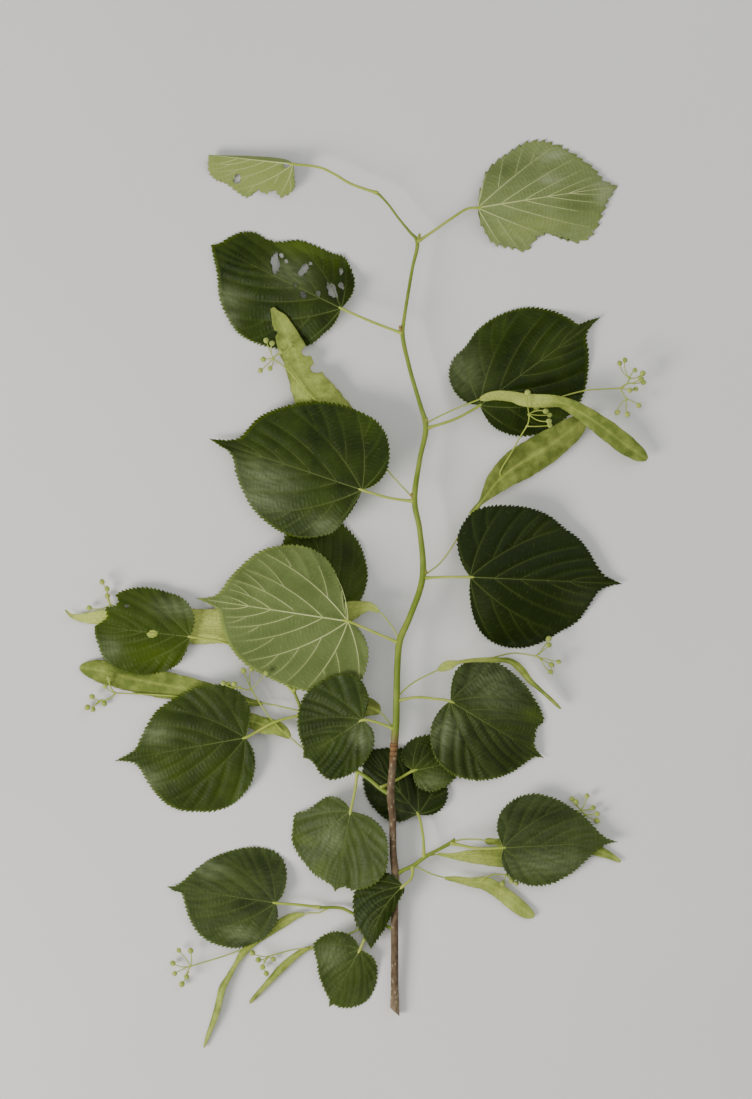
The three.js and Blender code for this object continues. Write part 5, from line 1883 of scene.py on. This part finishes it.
            (-2, 4.5), (-3, 10), (-2.5, 18), (0.5, 24.5), (5.5, 31), (13, 36), (22, 38), (32, 37),
            (41.5, 33), (49.5, 26.5), (56, 18.5), (60, 9.5), (63.5, 2.5),
        )),
        arch=2, rings=80, quilt=1.4, ladder=0.12, tone=(0, 0.12, 0), fade=0.6,
        bright=((48, 19, 6, 5),), grey=((18, 23, 20, 16), (7, -17, 9, 11)), dark=((51, -12, 13, 10),),
        petiole=Petiole("green", (25.2, -65.2), ((37, -63.4, 19), (49.4, -64.3, 19.8))),
    ),
    Leaf(
        "under_stem", joint=(38.2, -136.6, 6), tip=(5.3, -96.3, 3),
        left=Half(0, (
            (1, 4), (3, 11), (9, 17), (18.5, 19), (28.5, 18), (37, 14), (43.5, 9), (48.5, 4),
        )),
        right=Half(1, (
            (-3, 2.5), (-6.5, 8.5), (-6.5, 15.5), (-3, 21.5), (3, 25.5), (10.5, 28), (18, 28),
            (27, 25.5), (35.5, 20.5), (43, 12.5), (48, 5),
        )),
        tone=(0, 0, 0.8), fade=0.3, grey=((5, 6, 6, 7),), dark=((29, -9, 14, 16),),
        petiole=Petiole("right", (42.5, -163.4), ((41.3, -149.7, 9),)),
    ),
    Leaf(
        "small_right", joint=(35.1, -109.3, 12.5), tip=(70.5, -102.5, 7),
        left=Half(9, (
            (-3, 3.5), (-5.5, 9), (-3.5, 14.5), (1.5, 18.5), (7.5, 20), (15, 19.5), (21.5, 15.5),
            (27, 9.5), (31.5, 4),
        )),
        right=Half(9, (
            (-0.5, 5), (1.5, 10.5), (6.5, 14), (12.5, 15), (19.5, 13), (26.5, 8.5), (32, 3),
        )),
        tone=(0.1, 0.05, 0), fade=0.5, grey=((9, -9, 9, 5),), dark=((10, 10, 11, 5),),
        petiole=Petiole("left", (17.1, -121.7), ((25.8, -114.6, 10.8),)),
    ),
    Leaf(
        "low_left", joint=(-3.7, -134.2, 14.5), tip=(-13.4, -184.8, 7),
        left=Half(16.2, (
            (0.5, 5.5), (1.5, 12.5), (4.5, 18.5), (10, 24), (17.5, 27), (26, 28.5), (34, 28), (41, 24),
            (46, 17.5), (48.5, 11), (47.5, 5), (49.5, 1.5),
        )),
        right=Half(0, (
            (-3.5, 3), (-6.5, 9.5), (-6, 15.5), (-0.5, 21.5), (6, 27.5), (9, 33.5), (17, 33.5),
            (25.5, 32.5), (32.5, 28), (38, 22), (43.5, 15), (46, 8.5), (48.5, 2.5),
        )),
        rings=50, ladder=0.05, tone=(0.1, 0.22, 0), fade=0.6,
        bright=((24, -25, 4, 9), (40, -12, 9, 8)), grey=((19, -8, 11, 9),),
        petiole=Petiole("left", (0.3, -109.3), ((-0.9, -121.1, 12),)),
    ),
    Leaf(
        "low_right", joint=(91, -157.1, 13), tip=(163, -154, 5),
        left=Half(8.5, (
            (-1.5, 5), (-3, 11.5), (-2.5, 16.5), (0, 22.5), (5.5, 28), (13, 31.5), (21.5, 32.5),
            (29.5, 30.5), (37.5, 27), (44, 22.5), (50.5, 18), (56, 12), (61, 6), (65.5, 2.5),
        )),
        right=Half(7.5, (
            (-1, 6), (0, 12.5), (3, 17.5), (8.5, 21.5), (15.5, 24.5), (23.5, 25), (31.5, 23.5),
            (39, 20), (45.5, 16), (50.5, 11.5), (55.5, 7), (60.5, 3), (66.5, 0.5),
        )),
        arch=1, quilt=0.6, tone=(0, 0.22, 0), fade=0.6,
        grey=((28, -11, 26, 9),), dark=((27, 19, 21, 5),),
        petiole=Petiole("right", (58.7, -155.3), ((75.5, -157.5, 12.5),)),
    ),
    Leaf(
        "bottom_left", joint=(-50.6, -191.9, 7.5), tip=(-118.3, -182, 1.5),
        left=Half(5, (
            (-2, 4.5), (-2.5, 10.5), (0, 17.5), (4.5, 23.5), (11.5, 28), (19.5, 31.5), (27, 32),
            (36, 30.5), (43.5, 27), (49.5, 21), (54, 13.5), (57, 6.5), (59.5, 2.5), (64.5, 2),
        )),
        right=Half(-2.5, (
            (-3, 4), (-4.5, 10), (-4.5, 17), (-2.5, 24), (2, 29.5), (9, 32), (18, 32), (27.5, 29.5),
            (36.5, 25.5), (44.5, 20.5), (50, 15.5), (55, 10), (58.5, 5.5), (63.5, 1),
        )),
        arch=1, tone=(0, 0.2, 0),
        grey=((44, -14, 14, 6), (19, 22, 12, 5)), dark=((16, -24, 12, 6), (18, 3, 11, 6)),
        petiole=Petiole("low", (-22.7, -195), ((-35.1, -193.2, 6.8),)),
    ),
    Leaf(
        "folded", joint=(28.9, -180.7, 14.8), tip=(9, -220.5, 8),
        left=Half(11.5, ((1.5, 2.5), (8, 4.5), (17.5, 6), (28, 6), (37, 3.5))),
        right=Half(7, (
            (-2.5, 6), (-2, 14.5), (3, 19), (10.5, 21), (20, 20), (27.5, 16.5), (34, 13), (38, 8),
            (41.5, 3.5),
        )),
        arch=1, bend=-4.5, quilt=0.4, tone=(0, 0, 0.4), dark=((-1, -6, 6, 7),),
        petiole=Petiole("right", (35.1, -168.3), ((34.2, -175.8, 13),)),
    ),
    Leaf(
        "bottom", joint=(2.2, -220.8, 7), tip=(-17.3, -257.5, 0),
        left=Half(-2.5, (
            (0, 4), (1, 9.5), (4.5, 14), (10.5, 17.5), (17, 19.5), (24.5, 19.5), (30.5, 17), (35.5, 12),
            (38.5, 6.5), (39, 1.5),
        )),
        right=Half(6.5, (
            (-2.5, 3.5), (-4.5, 8.5), (-4.5, 14.5), (-1.5, 20.5), (4, 25), (10.5, 27), (15.5, 24),
            (20.5, 19.5), (25.5, 16), (30.5, 11), (34.5, 6), (37.5, 2),
        )),
        tone=(0.05, 0.15, 0), grey=((13, -14, 9, 8),),
        petiole=Petiole("low", (12.1, -203.7), ((7.1, -209.9, 5.8),)),
    ),
)

BRACTS = (
    Bract(
        "upper_left", limb="green", at=(36.3, 59.6), stalk=((27, 68.9, 15), (20.2, 76.4, 13)),
        ribbon=(
            (14.6, 84.5, 10.5, 4, 0), (-2.8, 102.5, 8.6, 9, 0), (-22, 118.6, 8.4, 14, 0),
            (-28.3, 128, 8.6, 12.5, 0), (-33.9, 138.5, 8.2, 9.5, 0), (-37.6, 147.8, 8, 8.6, 0),
            (-41.6, 156.5, 7.6, 8.2, 0), (-44.6, 164, 7.1, 6.6, 0), (-47.8, 170.8, 7.1, 5.2, 0),
            (-50.9, 175.8, 7.2, 2.6, 0), (-52.5, 178.9, 7.2, 1.3, 0),
        ),
        tone=(0.15, 0, 0), notches=((0.715, 1, 3, 4), (0.61, 1, 4, 4), (0.87, -1, 1.3, 2)),
        peduncle=((-23.9, 119.9, 10), (-35.1, 131.1, 11), (-42.5, 139.8, 11.5)),
        sprays=(
            Spray((-51.9, 147.2, 11.5), (
                (-56.2, 158.4, 10), (-52.5, 156.5, 13), (-58.1, 146.6, 9), (-59.9, 139.8, 8),
                (-53.7, 141, 12),
            )),
            Spray((-48.8, 149.7, 11), ((-46.9, 151.6, 13.5), (-40.7, 155.9, 14))),
        ),
    ),
    Bract(
        "upper_right", limb="green", at=(43.2, 106.2), stalk=((51.9, 111.2, 17), (64.3, 116.8, 17.5)),
        ribbon=(
            (76.7, 121.7, 17.5, 1, 30), (86, 123.9, 17, 4.5, 55), (96.6, 123, 16.5, 5.5, 55),
            (105.3, 121.1, 15.5, 4.6, 30), (117.1, 120.5, 15, 4.8, 35), (127.6, 119.9, 14.8, 5.4, 50),
            (136.3, 115.5, 14.5, 7, 55), (146.3, 109.3, 13, 6, 25), (157.5, 101.2, 11, 6.3, 5),
            (168, 93.2, 9, 6.2, 0), (176.1, 87.6, 7.5, 4.6, 0), (181.1, 84.5, 6.8, 1, 0),
        ),
        tone=(0, 0.8, 0), foot_tone=(0.7, 0, 0),
        peduncle=((123.9, 121.7, 16.5), (143.2, 127.3, 14), (153.7, 128, 13)),
        sprays=(
            Spray((164.3, 128.6, 12), ((169.9, 127.3, 14), (173.6, 128, 12))),
            Spray((169.9, 134.8, 12), (
                (163.7, 144.1, 11), (166.8, 146, 13.5), (173, 139.8, 13), (178, 137.9, 11),
            )),
            Spray((172.4, 131.7, 12.5), ((176.7, 134.2, 14), (178.6, 132.3, 10))),
            Spray((168, 121.7, 11), ((162.4, 113.7, 9), (168.6, 112.4, 8), (175.5, 118, 10))),
        ),
    ),
    Bract(
        "right_broad", limb="green", at=(40.7, 11.8), stalk=((51.9, 19.9, 17), (61.2, 32.9, 14.5)),
        ribbon=(
            (70.5, 50.3, 11.6, 0.9, 0), (74.2, 54, 11, 1.6, 0), (78, 58.4, 10.4, 1.9, 0),
            (82.3, 64, 9.6, 4.4, 0), (87.9, 70.8, 9.2, 7.2, 0), (96.6, 78.3, 8.8, 9.6, 0),
            (107.8, 85.4, 8.2, 10.6, 0), (122, 94.4, 7.4, 9.5, 0), (133.9, 103.1, 6.2, 7.5, 0),
            (140.7, 108.7, 5.2, 4.5, 0), (145, 111.8, 4.6, 1, 0),
        ),
        tone=(0, 1, 0.2), peduncle=((89.1, 75.2, 10.5), (97.2, 90.1, 11.5), (102.8, 100, 12)),
        sprays=(
            Spray((105.9, 105, 12.5), ((120.2, 105.6, 11),)),
            Spray((107.1, 112.4, 13), (
                (112.1, 116.8, 9), (117.7, 114.3, 11.5), (120.2, 112.1, 9), (119.6, 108.1, 13.5),
                (105.9, 125.5, 21.5),
            )),
        ),
    ),
    Bract(
        "left_tucked", limb="green", at=(25.8, -28),
        stalk=((23.3, -21.7, 18.5), (20.2, -16.8, 17.5), (15.2, -11.2, 16)),
        ribbon=(
            (13.8, -10.2, 15.4, 1, 0), (8, -7.3, 14.4, 3, 20), (2.8, -7.8, 13.4, 4.6, 25),
            (-1.6, -9.2, 12.4, 6, 20), (-7.8, -11.2, 11.4, 6.5, 10), (-16.5, -13, 10.4, 6.8, 0),
            (-28.9, -13.7, 9.8, 6, 0), (-40.1, -13, 9.4, 3.6, 0), (-45.7, -12.7, 9.2, 1, 0),
        ),
        tone=(0.5, 0, 0),
    ),
    Bract(
        "far_left", limb="left", at=(-41.3, -53.4), stalk=((-47.5, -42.2, 6.3), (-53.7, -32.9, 4.8)),
        ribbon=(
            (-61.2, -26.1, 3.6, 1.2, 0), (-70.5, -22.4, 2.8, 6, 0), (-83.5, -19.9, 2.4, 10.5, 0),
            (-101.6, -19.6, 2.2, 10.8, 0), (-122, -18, 2, 10, 0), (-141.9, -16.1, 2, 7.5, 0),
            (-159.3, -14.3, 2, 4.8, 0), (-171.7, -14.3, 2.4, 2.6, 0), (-178, -13, 3, 1.3, 20),
            (-181.7, -9.3, 4, 0.5, 40),
        ),
        tone=(1, 0, 0), peduncle=((-118.9, -16.8, 2.8), (-137.6, -10.6, 3)),
        sprays=(
            Spray((-153.7, -6.2, 3.6), ((-158.7, 8.1, 6), (-155.6, 3.7, 6), (-166.8, -8.1, 4))),
            Spray((-155, -3.1, 3.4), ((-155.6, -0.6, 3),)),
        ),
    ),
    Bract(
        "outer_left", limb="left", at=(-32.6, -72.7), stalk=((-44.4, -70.2, 6.6), (-53.1, -68.3, 5.2)),
        ribbon=(
            (-58.7, -67.7, 4.8, 1.2, 50), (-67.4, -67.1, 4.4, 4, 50), (-81.7, -64, 3.6, 5.5, 20),
            (-97.2, -60.2, 2.8, 6.6, 0), (-110.9, -57.8, 2.3, 8, 0), (-128.3, -54.7, 2, 8.6, 0),
            (-145.7, -50.9, 1.8, 8, 0), (-160.6, -47.5, 1.8, 7, 0), (-168, -46, 1.9, 4.6, 0),
            (-173, -45.3, 2, 1, 0),
        ),
        tone=(0, 0.8, 0), peduncle=((-100.3, -63.4, 3.6), (-118.9, -62.7, 3.4), (-135.7, -61.8, 3.6)),
        sprays=(
            Spray((-150.6, -61.2, 4.6), ((-156.8, -57.1, 5.5),)),
            Spray((-154.3, -54, 5.5), ((-154.3, -52.2, 5.5),)),
            Spray((-159.3, -65.8, 4.6), (
                (-164.9, -63.4, 6), (-168, -70.2, 3.6), (-164.3, -71.4, 6), (-157.5, -67.7, 3),
            )),
        ),
    ),
    Bract(
        "lower_left", limb="left", at=(-10.2, -100), stalk=((-21.4, -100.6, 8.4), (-32, -96.3, 8)),
        ribbon=(
            (-41.3, -88.8, 7.4, 1.2, 0), (-48.8, -83.2, 6.8, 4.5, 15), (-57.5, -81.4, 6, 5.2, 10),
            (-66.1, -78.3, 5, 4.6, 0), (-75.5, -75.2, 4.2, 4, 0), (-84.8, -72, 3.6, 2.2, 0),
            (-89.8, -70.2, 3.4, 0.8, 0),
        ),
        peduncle=((-45.7, -85.1, 7.6), (-53.1, -77.6, 7.2), (-59.3, -68.9, 8.2)),
        sprays=(
            Spray((-65.5, -59, 8), ((-70.5, -47.2, 7), (-65.5, -46, 5.2), (-56.2, -48.4, 14.6))),
            Spray((-72.4, -57.8, 11), ((-76.1, -55.3, 12), (-79.8, -55.3, 9.5), (-82.9, -54.7, 12))),
        ),
    ),
    Bract(
        "crumpled", limb="green", at=(23.3, -83.2), stalk=((19.6, -78.3, 16.8), (16.5, -74.5, 16)),
        ribbon=(
            (14.6, -72.7, 15.4, 1.2, 0), (10.9, -70.8, 14.4, 5, 25), (6.5, -69.6, 13.4, 6.4, 20),
            (-1.6, -67.1, 12.4, 6, 0), (-9, -64.6, 11.8, 4.5, 0), (-15.2, -62.7, 11.6, 1, 0),
        ),
        tone=(0, 0.6, 0.4),
    ),
    Bract(
        "mid_right", limb="green", at=(25.8, -63.4),
        stalk=((30.1, -58.4, 18), (35.7, -54, 17.8), (43.8, -49.7, 17.6)),
        ribbon=(
            (50.6, -46.6, 17.6, 0.9, 15), (56.2, -43.8, 18, 3.2, 12), (63.7, -41.6, 18, 1.8, 50),
            (73, -40.4, 18, 3.4, 68), (85.4, -40.1, 17, 4.4, 68), (95.3, -41, 15.2, 4.6, 65),
            (102.2, -46.3, 12.8, 4, 58), (107.8, -53.1, 11, 3.4, 62), (114, -58.7, 9, 2.6, 62),
            (120.8, -64.9, 7, 2.2, 60), (127.3, -71.1, 5.5, 0.7, 50),
        ),
        tone=(0, 0.8, 0), foot_tone=(0.5, 0, 0),
        peduncle=((81.1, -39.8, 18), (87.9, -37.9, 17.5), (97.8, -36, 16)),
        sprays=(
            Spray((111.5, -37.9, 13.6), ((125.8, -41.6, 10.5), (121.4, -43.5, 8))),
            Spray((113.4, -36.6, 12.6), ((119.6, -27.3, 9), (119.6, -31.1, 12.4))),
            Spray((115.2, -40.4, 11.5), ((120.8, -47.8, 9),)),
        ),
    ),
    Bract(
        "low_right_narrow", limb="right", at=(58.7, -153.4),
        stalk=((65.5, -152.2, 11), (76.1, -152.2, 10)),
        ribbon=(
            (79.8, -152.8, 9.4, 1, 0), (85.4, -153.7, 8.6, 3.2, 50), (92.2, -154, 7.6, 4, 35),
            (107.8, -154.7, 5.4, 5, 0), (126.4, -155.3, 3.6, 5.5, 0), (145, -157.8, 2.4, 4.2, 0),
            (157.5, -162.7, 1.9, 2.4, 0), (164.9, -166.5, 1.8, 0.8, 0),
        ),
        tone=(0, 0.2, 0), peduncle=((101.6, -154, 5), (117.1, -147.2, 3.8), (130.1, -139.8, 3.2)),
        sprays=(
            Spray((140.1, -134.2, 3.2), (
                (134.5, -127.3, 3.2), (137, -129.2, 3.6), (143.8, -125.5, 4), (147.5, -132.9, 3.4),
            )),
            Spray((142.5, -137.3, 3.2), ((150, -136.6, 4.8), (150, -141, 2.9))),
        ),
    ),
    Bract(
        "low_right_cream", limb="right", at=(43.2, -162.1), stalk=((47.5, -161.8, 10),),
        ribbon=(
            (50.6, -161.2, 9.4, 0.8, 0), (56.2, -162.2, 8.6, 1.4, 0), (62.4, -162.7, 7.8, 2.4, 0),
            (69.4, -162.9, 6.9, 3.8, 0), (79.2, -163.6, 5.6, 4.7, 0), (89.1, -164.2, 4.6, 5.6, 0),
            (101.6, -164.6, 3.4, 5.6, 0), (114, -165.2, 2.4, 5.4, 0), (127.6, -165.8, 1.8, 3, 0),
            (134.5, -165.8, 1.7, 0.8, 0),
        ),
        tone=(0, 0.4, 0), foot_tone=(0.6, 0, 0.1),
    ),
    Bract(
        "low_right_broad", limb="right", at=(35.7, -168.9), stalk=((45.7, -173.3, 9.4),),
        ribbon=(
            (55, -176.4, 7.6, 0.9, 0), (62.4, -177.3, 6.4, 2, 0), (71.7, -179.2, 5, 3, 0),
            (80.4, -180.1, 4, 4.2, 0), (89.1, -185.1, 3, 4.6, 0), (98.4, -192.5, 2.2, 4.8, 0),
            (105.9, -198.1, 2, 4, 0), (110.9, -200.9, 2, 1, 0),
        ),
        tone=(0.35, 0, 0), peduncle=((78, -178.3, 5.4), (84.2, -174.5, 5.4)),
        sprays=(
            Spray((92.9, -174.5, 5), ((91, -179.8, 5.6), (96.6, -178.3, 4), (99.7, -180.1, 2.8))),
        ),
    ),
    Bract(
        "bottom_long", limb="low", at=(-16.5, -195.2),
        stalk=((-23.9, -198.4, 3.2), (-28.3, -198.4, 3.6)),
        ribbon=(
            (-32.6, -199.1, 3.8, 0.8, 0), (-38.8, -200.6, 3.4, 2.3, 10), (-44.4, -203.5, 2.6, 3.1, 5),
            (-50.6, -207.5, 2.2, 3, 0), (-58.7, -213.4, 2, 2.2, 0), (-65.5, -218.6, 2.2, 1.9, 10),
            (-71.1, -223.6, 2.6, 2.5, 30), (-75, -229.6, 3, 1.8, 40), (-79.2, -237.1, 3.2, 2.2, 45),
            (-83.8, -245.8, 3.2, 3, 45), (-85.7, -253.3, 3.1, 3, 45), (-88, -261.9, 2.9, 2.8, 45),
            (-91.9, -272.7, 2.4, 1.9, 45), (-95.4, -282.6, 1.6, 0.6, 40),
        ),
        tone=(0.1, 0.2, 0), peduncle=((-55, -211.8, 3.6), (-66.1, -218.6, 4), (-79.8, -224.2, 5)),
        sprays=(
            Spray((-103.4, -231.4, 6), (
                (-110.9, -221.7, 5), (-103.4, -221.7, 7.5), (-114.6, -229.8, 3.6), (-113.4, -236, 6.5),
            )),
            Spray((-105.3, -235.4, 5.6), ((-105.9, -237.9, 7.5), (-109, -242.9, 3.6))),
        ),
    ),
    Bract(
        "bottom_short", limb="low", at=(9.6, -202.5),
        stalk=((0.9, -208.7, 4), (-7.1, -212.4, 3), (-17.7, -216.8, 2.6)),
        ribbon=(
            (-26.4, -219.9, 2.8, 0.8, 0), (-32, -221.4, 3, 1.5, 20), (-38.8, -225.8, 3.4, 2.6, 40),
            (-46.3, -232.3, 3.6, 3.1, 45), (-52.9, -239.3, 3.5, 2.7, 48), (-59.3, -246.3, 3.2, 2.1, 48),
            (-63.7, -251.1, 2.6, 1.7, 45), (-66.8, -255, 1.8, 0.6, 30),
        ),
        peduncle=((-30.1, -220.5, 3.6), (-38.8, -221.1, 4.4), (-46.3, -223, 5)),
        sprays=(
            Spray((-55, -225.5, 5.4), ((-64.9, -223, 8), (-61.2, -227.3, 7.4), (-51.9, -227.3, 3.6))),
            Spray((-57.5, -228.6, 5), ((-58.7, -232.3, 3.6), (-56.2, -236, 6))),
        ),
    ),
)


# ---- stage ----


@dataclass(frozen=True)
class Lamp:
    """A square soft light: where it stands, its side in metres, its watts and its colour."""

    name: str
    at: Numbers
    side: float
    watts: float
    tone: Numbers


@dataclass(frozen=True)
class Stage:
    """The table top, the lights and the camera over the branch, in metres.

    Attributes:
        size: of the table top's sides, lines: of its grid, and drop: how far under 0 it lies.
        pale: and paler: its two colours.
        look_at: what the lights face and the camera looks down on.
        distance: of the camera, and view_height: what fills the picture's long side.
        sensor: width of the camera's sensor, in millimetres.
        lamps: its lights, room: colour of the surroundings, and glow: their strength.
    """

    size: float = 6.0
    lines: int = 41
    drop: float = 0.0002
    pale: Numbers = colour(226, 224, 219)
    paler: Numbers = colour(232, 230, 226)
    look_at: Numbers = (0.0121, 0.0283, 0.015)
    distance: float = 2.5
    view_height: float = 0.6826
    sensor: float = 36.0
    lamps: tuple[Lamp, ...] = (
        Lamp("main_light", (-1.5, -0.9, 1.15), 0.9, 44, (1.0, 0.98, 0.95)),
        Lamp("fill_light", (1.5, 1.2, 1.6), 1.6, 14, (0.95, 0.98, 1.0)),
        Lamp("top_light", (0.1, 0.4, 2.4), 1.6, 12, (1.0, 1.0, 1.0)),
    )
    room: Numbers = (0.82, 0.84, 0.86, 1)
    glow: float = 0.42

    def floor(self) -> None:
        """A large, pale, flat sheet just under the branch."""
        edge = np.linspace(-self.size / 2, self.size / 2, self.lines)
        x, y = np.meshgrid(edge, edge)
        points = np.stack([x, y, 0 * x - self.drop], -1).reshape(-1, 3)
        mesh = bpy.data.meshes.new("table_top")
        mesh.from_pydata(points.tolist(), [], grid_faces(self.lines, self.lines).tolist())
        n = Nodes("table_top_paint")
        cloud = n.noise(n.object_place(), 3)
        base = n.mix(n.spread(cloud, 0.3, 0.7), self.pale, self.paler)
        rough = n.spread(cloud, 0.3, 0.7, 0.7, 0.8)
        mesh.materials.append(n.finish(base, rough, n.bump(cloud, 0.0001)))
        floor = bpy.data.objects.new("table_top", mesh)
        bpy.context.scene.collection.objects.link(floor)

    def light(self, lamp: Lamp) -> None:
        """Sets up a light that faces the branch.

        Args:
            lamp: what it is like.
        """
        light = bpy.data.lights.new(lamp.name, "AREA")
        light.energy = lamp.watts
        light.size = lamp.side
        light.color = lamp.tone
        holder = bpy.data.objects.new(lamp.name, light)
        bpy.context.scene.collection.objects.link(holder)
        holder.location = lamp.at
        way = Vector(self.look_at) - Vector(lamp.at)
        holder.rotation_euler = way.to_track_quat("-Z", "Y").to_euler()

    def camera(self) -> None:
        """Straight above, with the framing's height filling the picture's long side."""
        data = bpy.data.cameras.new("camera")
        data.lens = self.sensor * self.distance / self.view_height
        data.sensor_width = self.sensor
        data.clip_end = 20
        camera = bpy.data.objects.new("camera", data)
        camera.location = (self.look_at[0], self.look_at[1], self.look_at[2] + self.distance)
        bpy.context.scene.collection.objects.link(camera)
        bpy.context.scene.camera = camera

    def build(self) -> None:
        """Sets the table, the lights, the pale surroundings and the camera."""
        self.floor()
        for lamp in self.lamps:
            self.light(lamp)
        world = bpy.data.worlds.new("pale_room")
        world.use_nodes = True
        background = world.node_tree.nodes["Background"]
        background.inputs["Color"].default_value = self.room
        background.inputs["Strength"].default_value = self.glow
        bpy.context.scene.world = world
        self.camera()


def corners(box: tuple) -> list[list[float]]:
    """A box's two corners as plain lists."""
    return [[float(value) for value in corner] for corner in box]


def main() -> None:
    """Builds the table, the limbs, the leaves and the bracts."""
    logging.basicConfig(level=logging.INFO, format="%(message)s")
    Stage().build()
    shoot = [SHOOT.make(), BUD.make()]
    WOOD.build()
    for limb in (GREEN, LEFT_SHOOT, RIGHT_SHOOT, LOW_SHOOT):
        limb.build(shoot)
    upper, under, petiole = UPPER.make(), UNDERSIDE.make(), PETIOLE.make()
    face_up = [upper, under, RIB_UPPER.make(), petiole]
    face_down = [under, upper, RIB_UNDER.make(), petiole]
    for leaf in LEAVES:
        leaf.build(face_down if leaf.underside else face_up)
    paper = [BRACT.make(), petiole]
    fruit = [petiole, FRUIT.make()]
    for bract in BRACTS:
        bract.build(paper, fruit)
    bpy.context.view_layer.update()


if __name__ == "__main__":
    main()
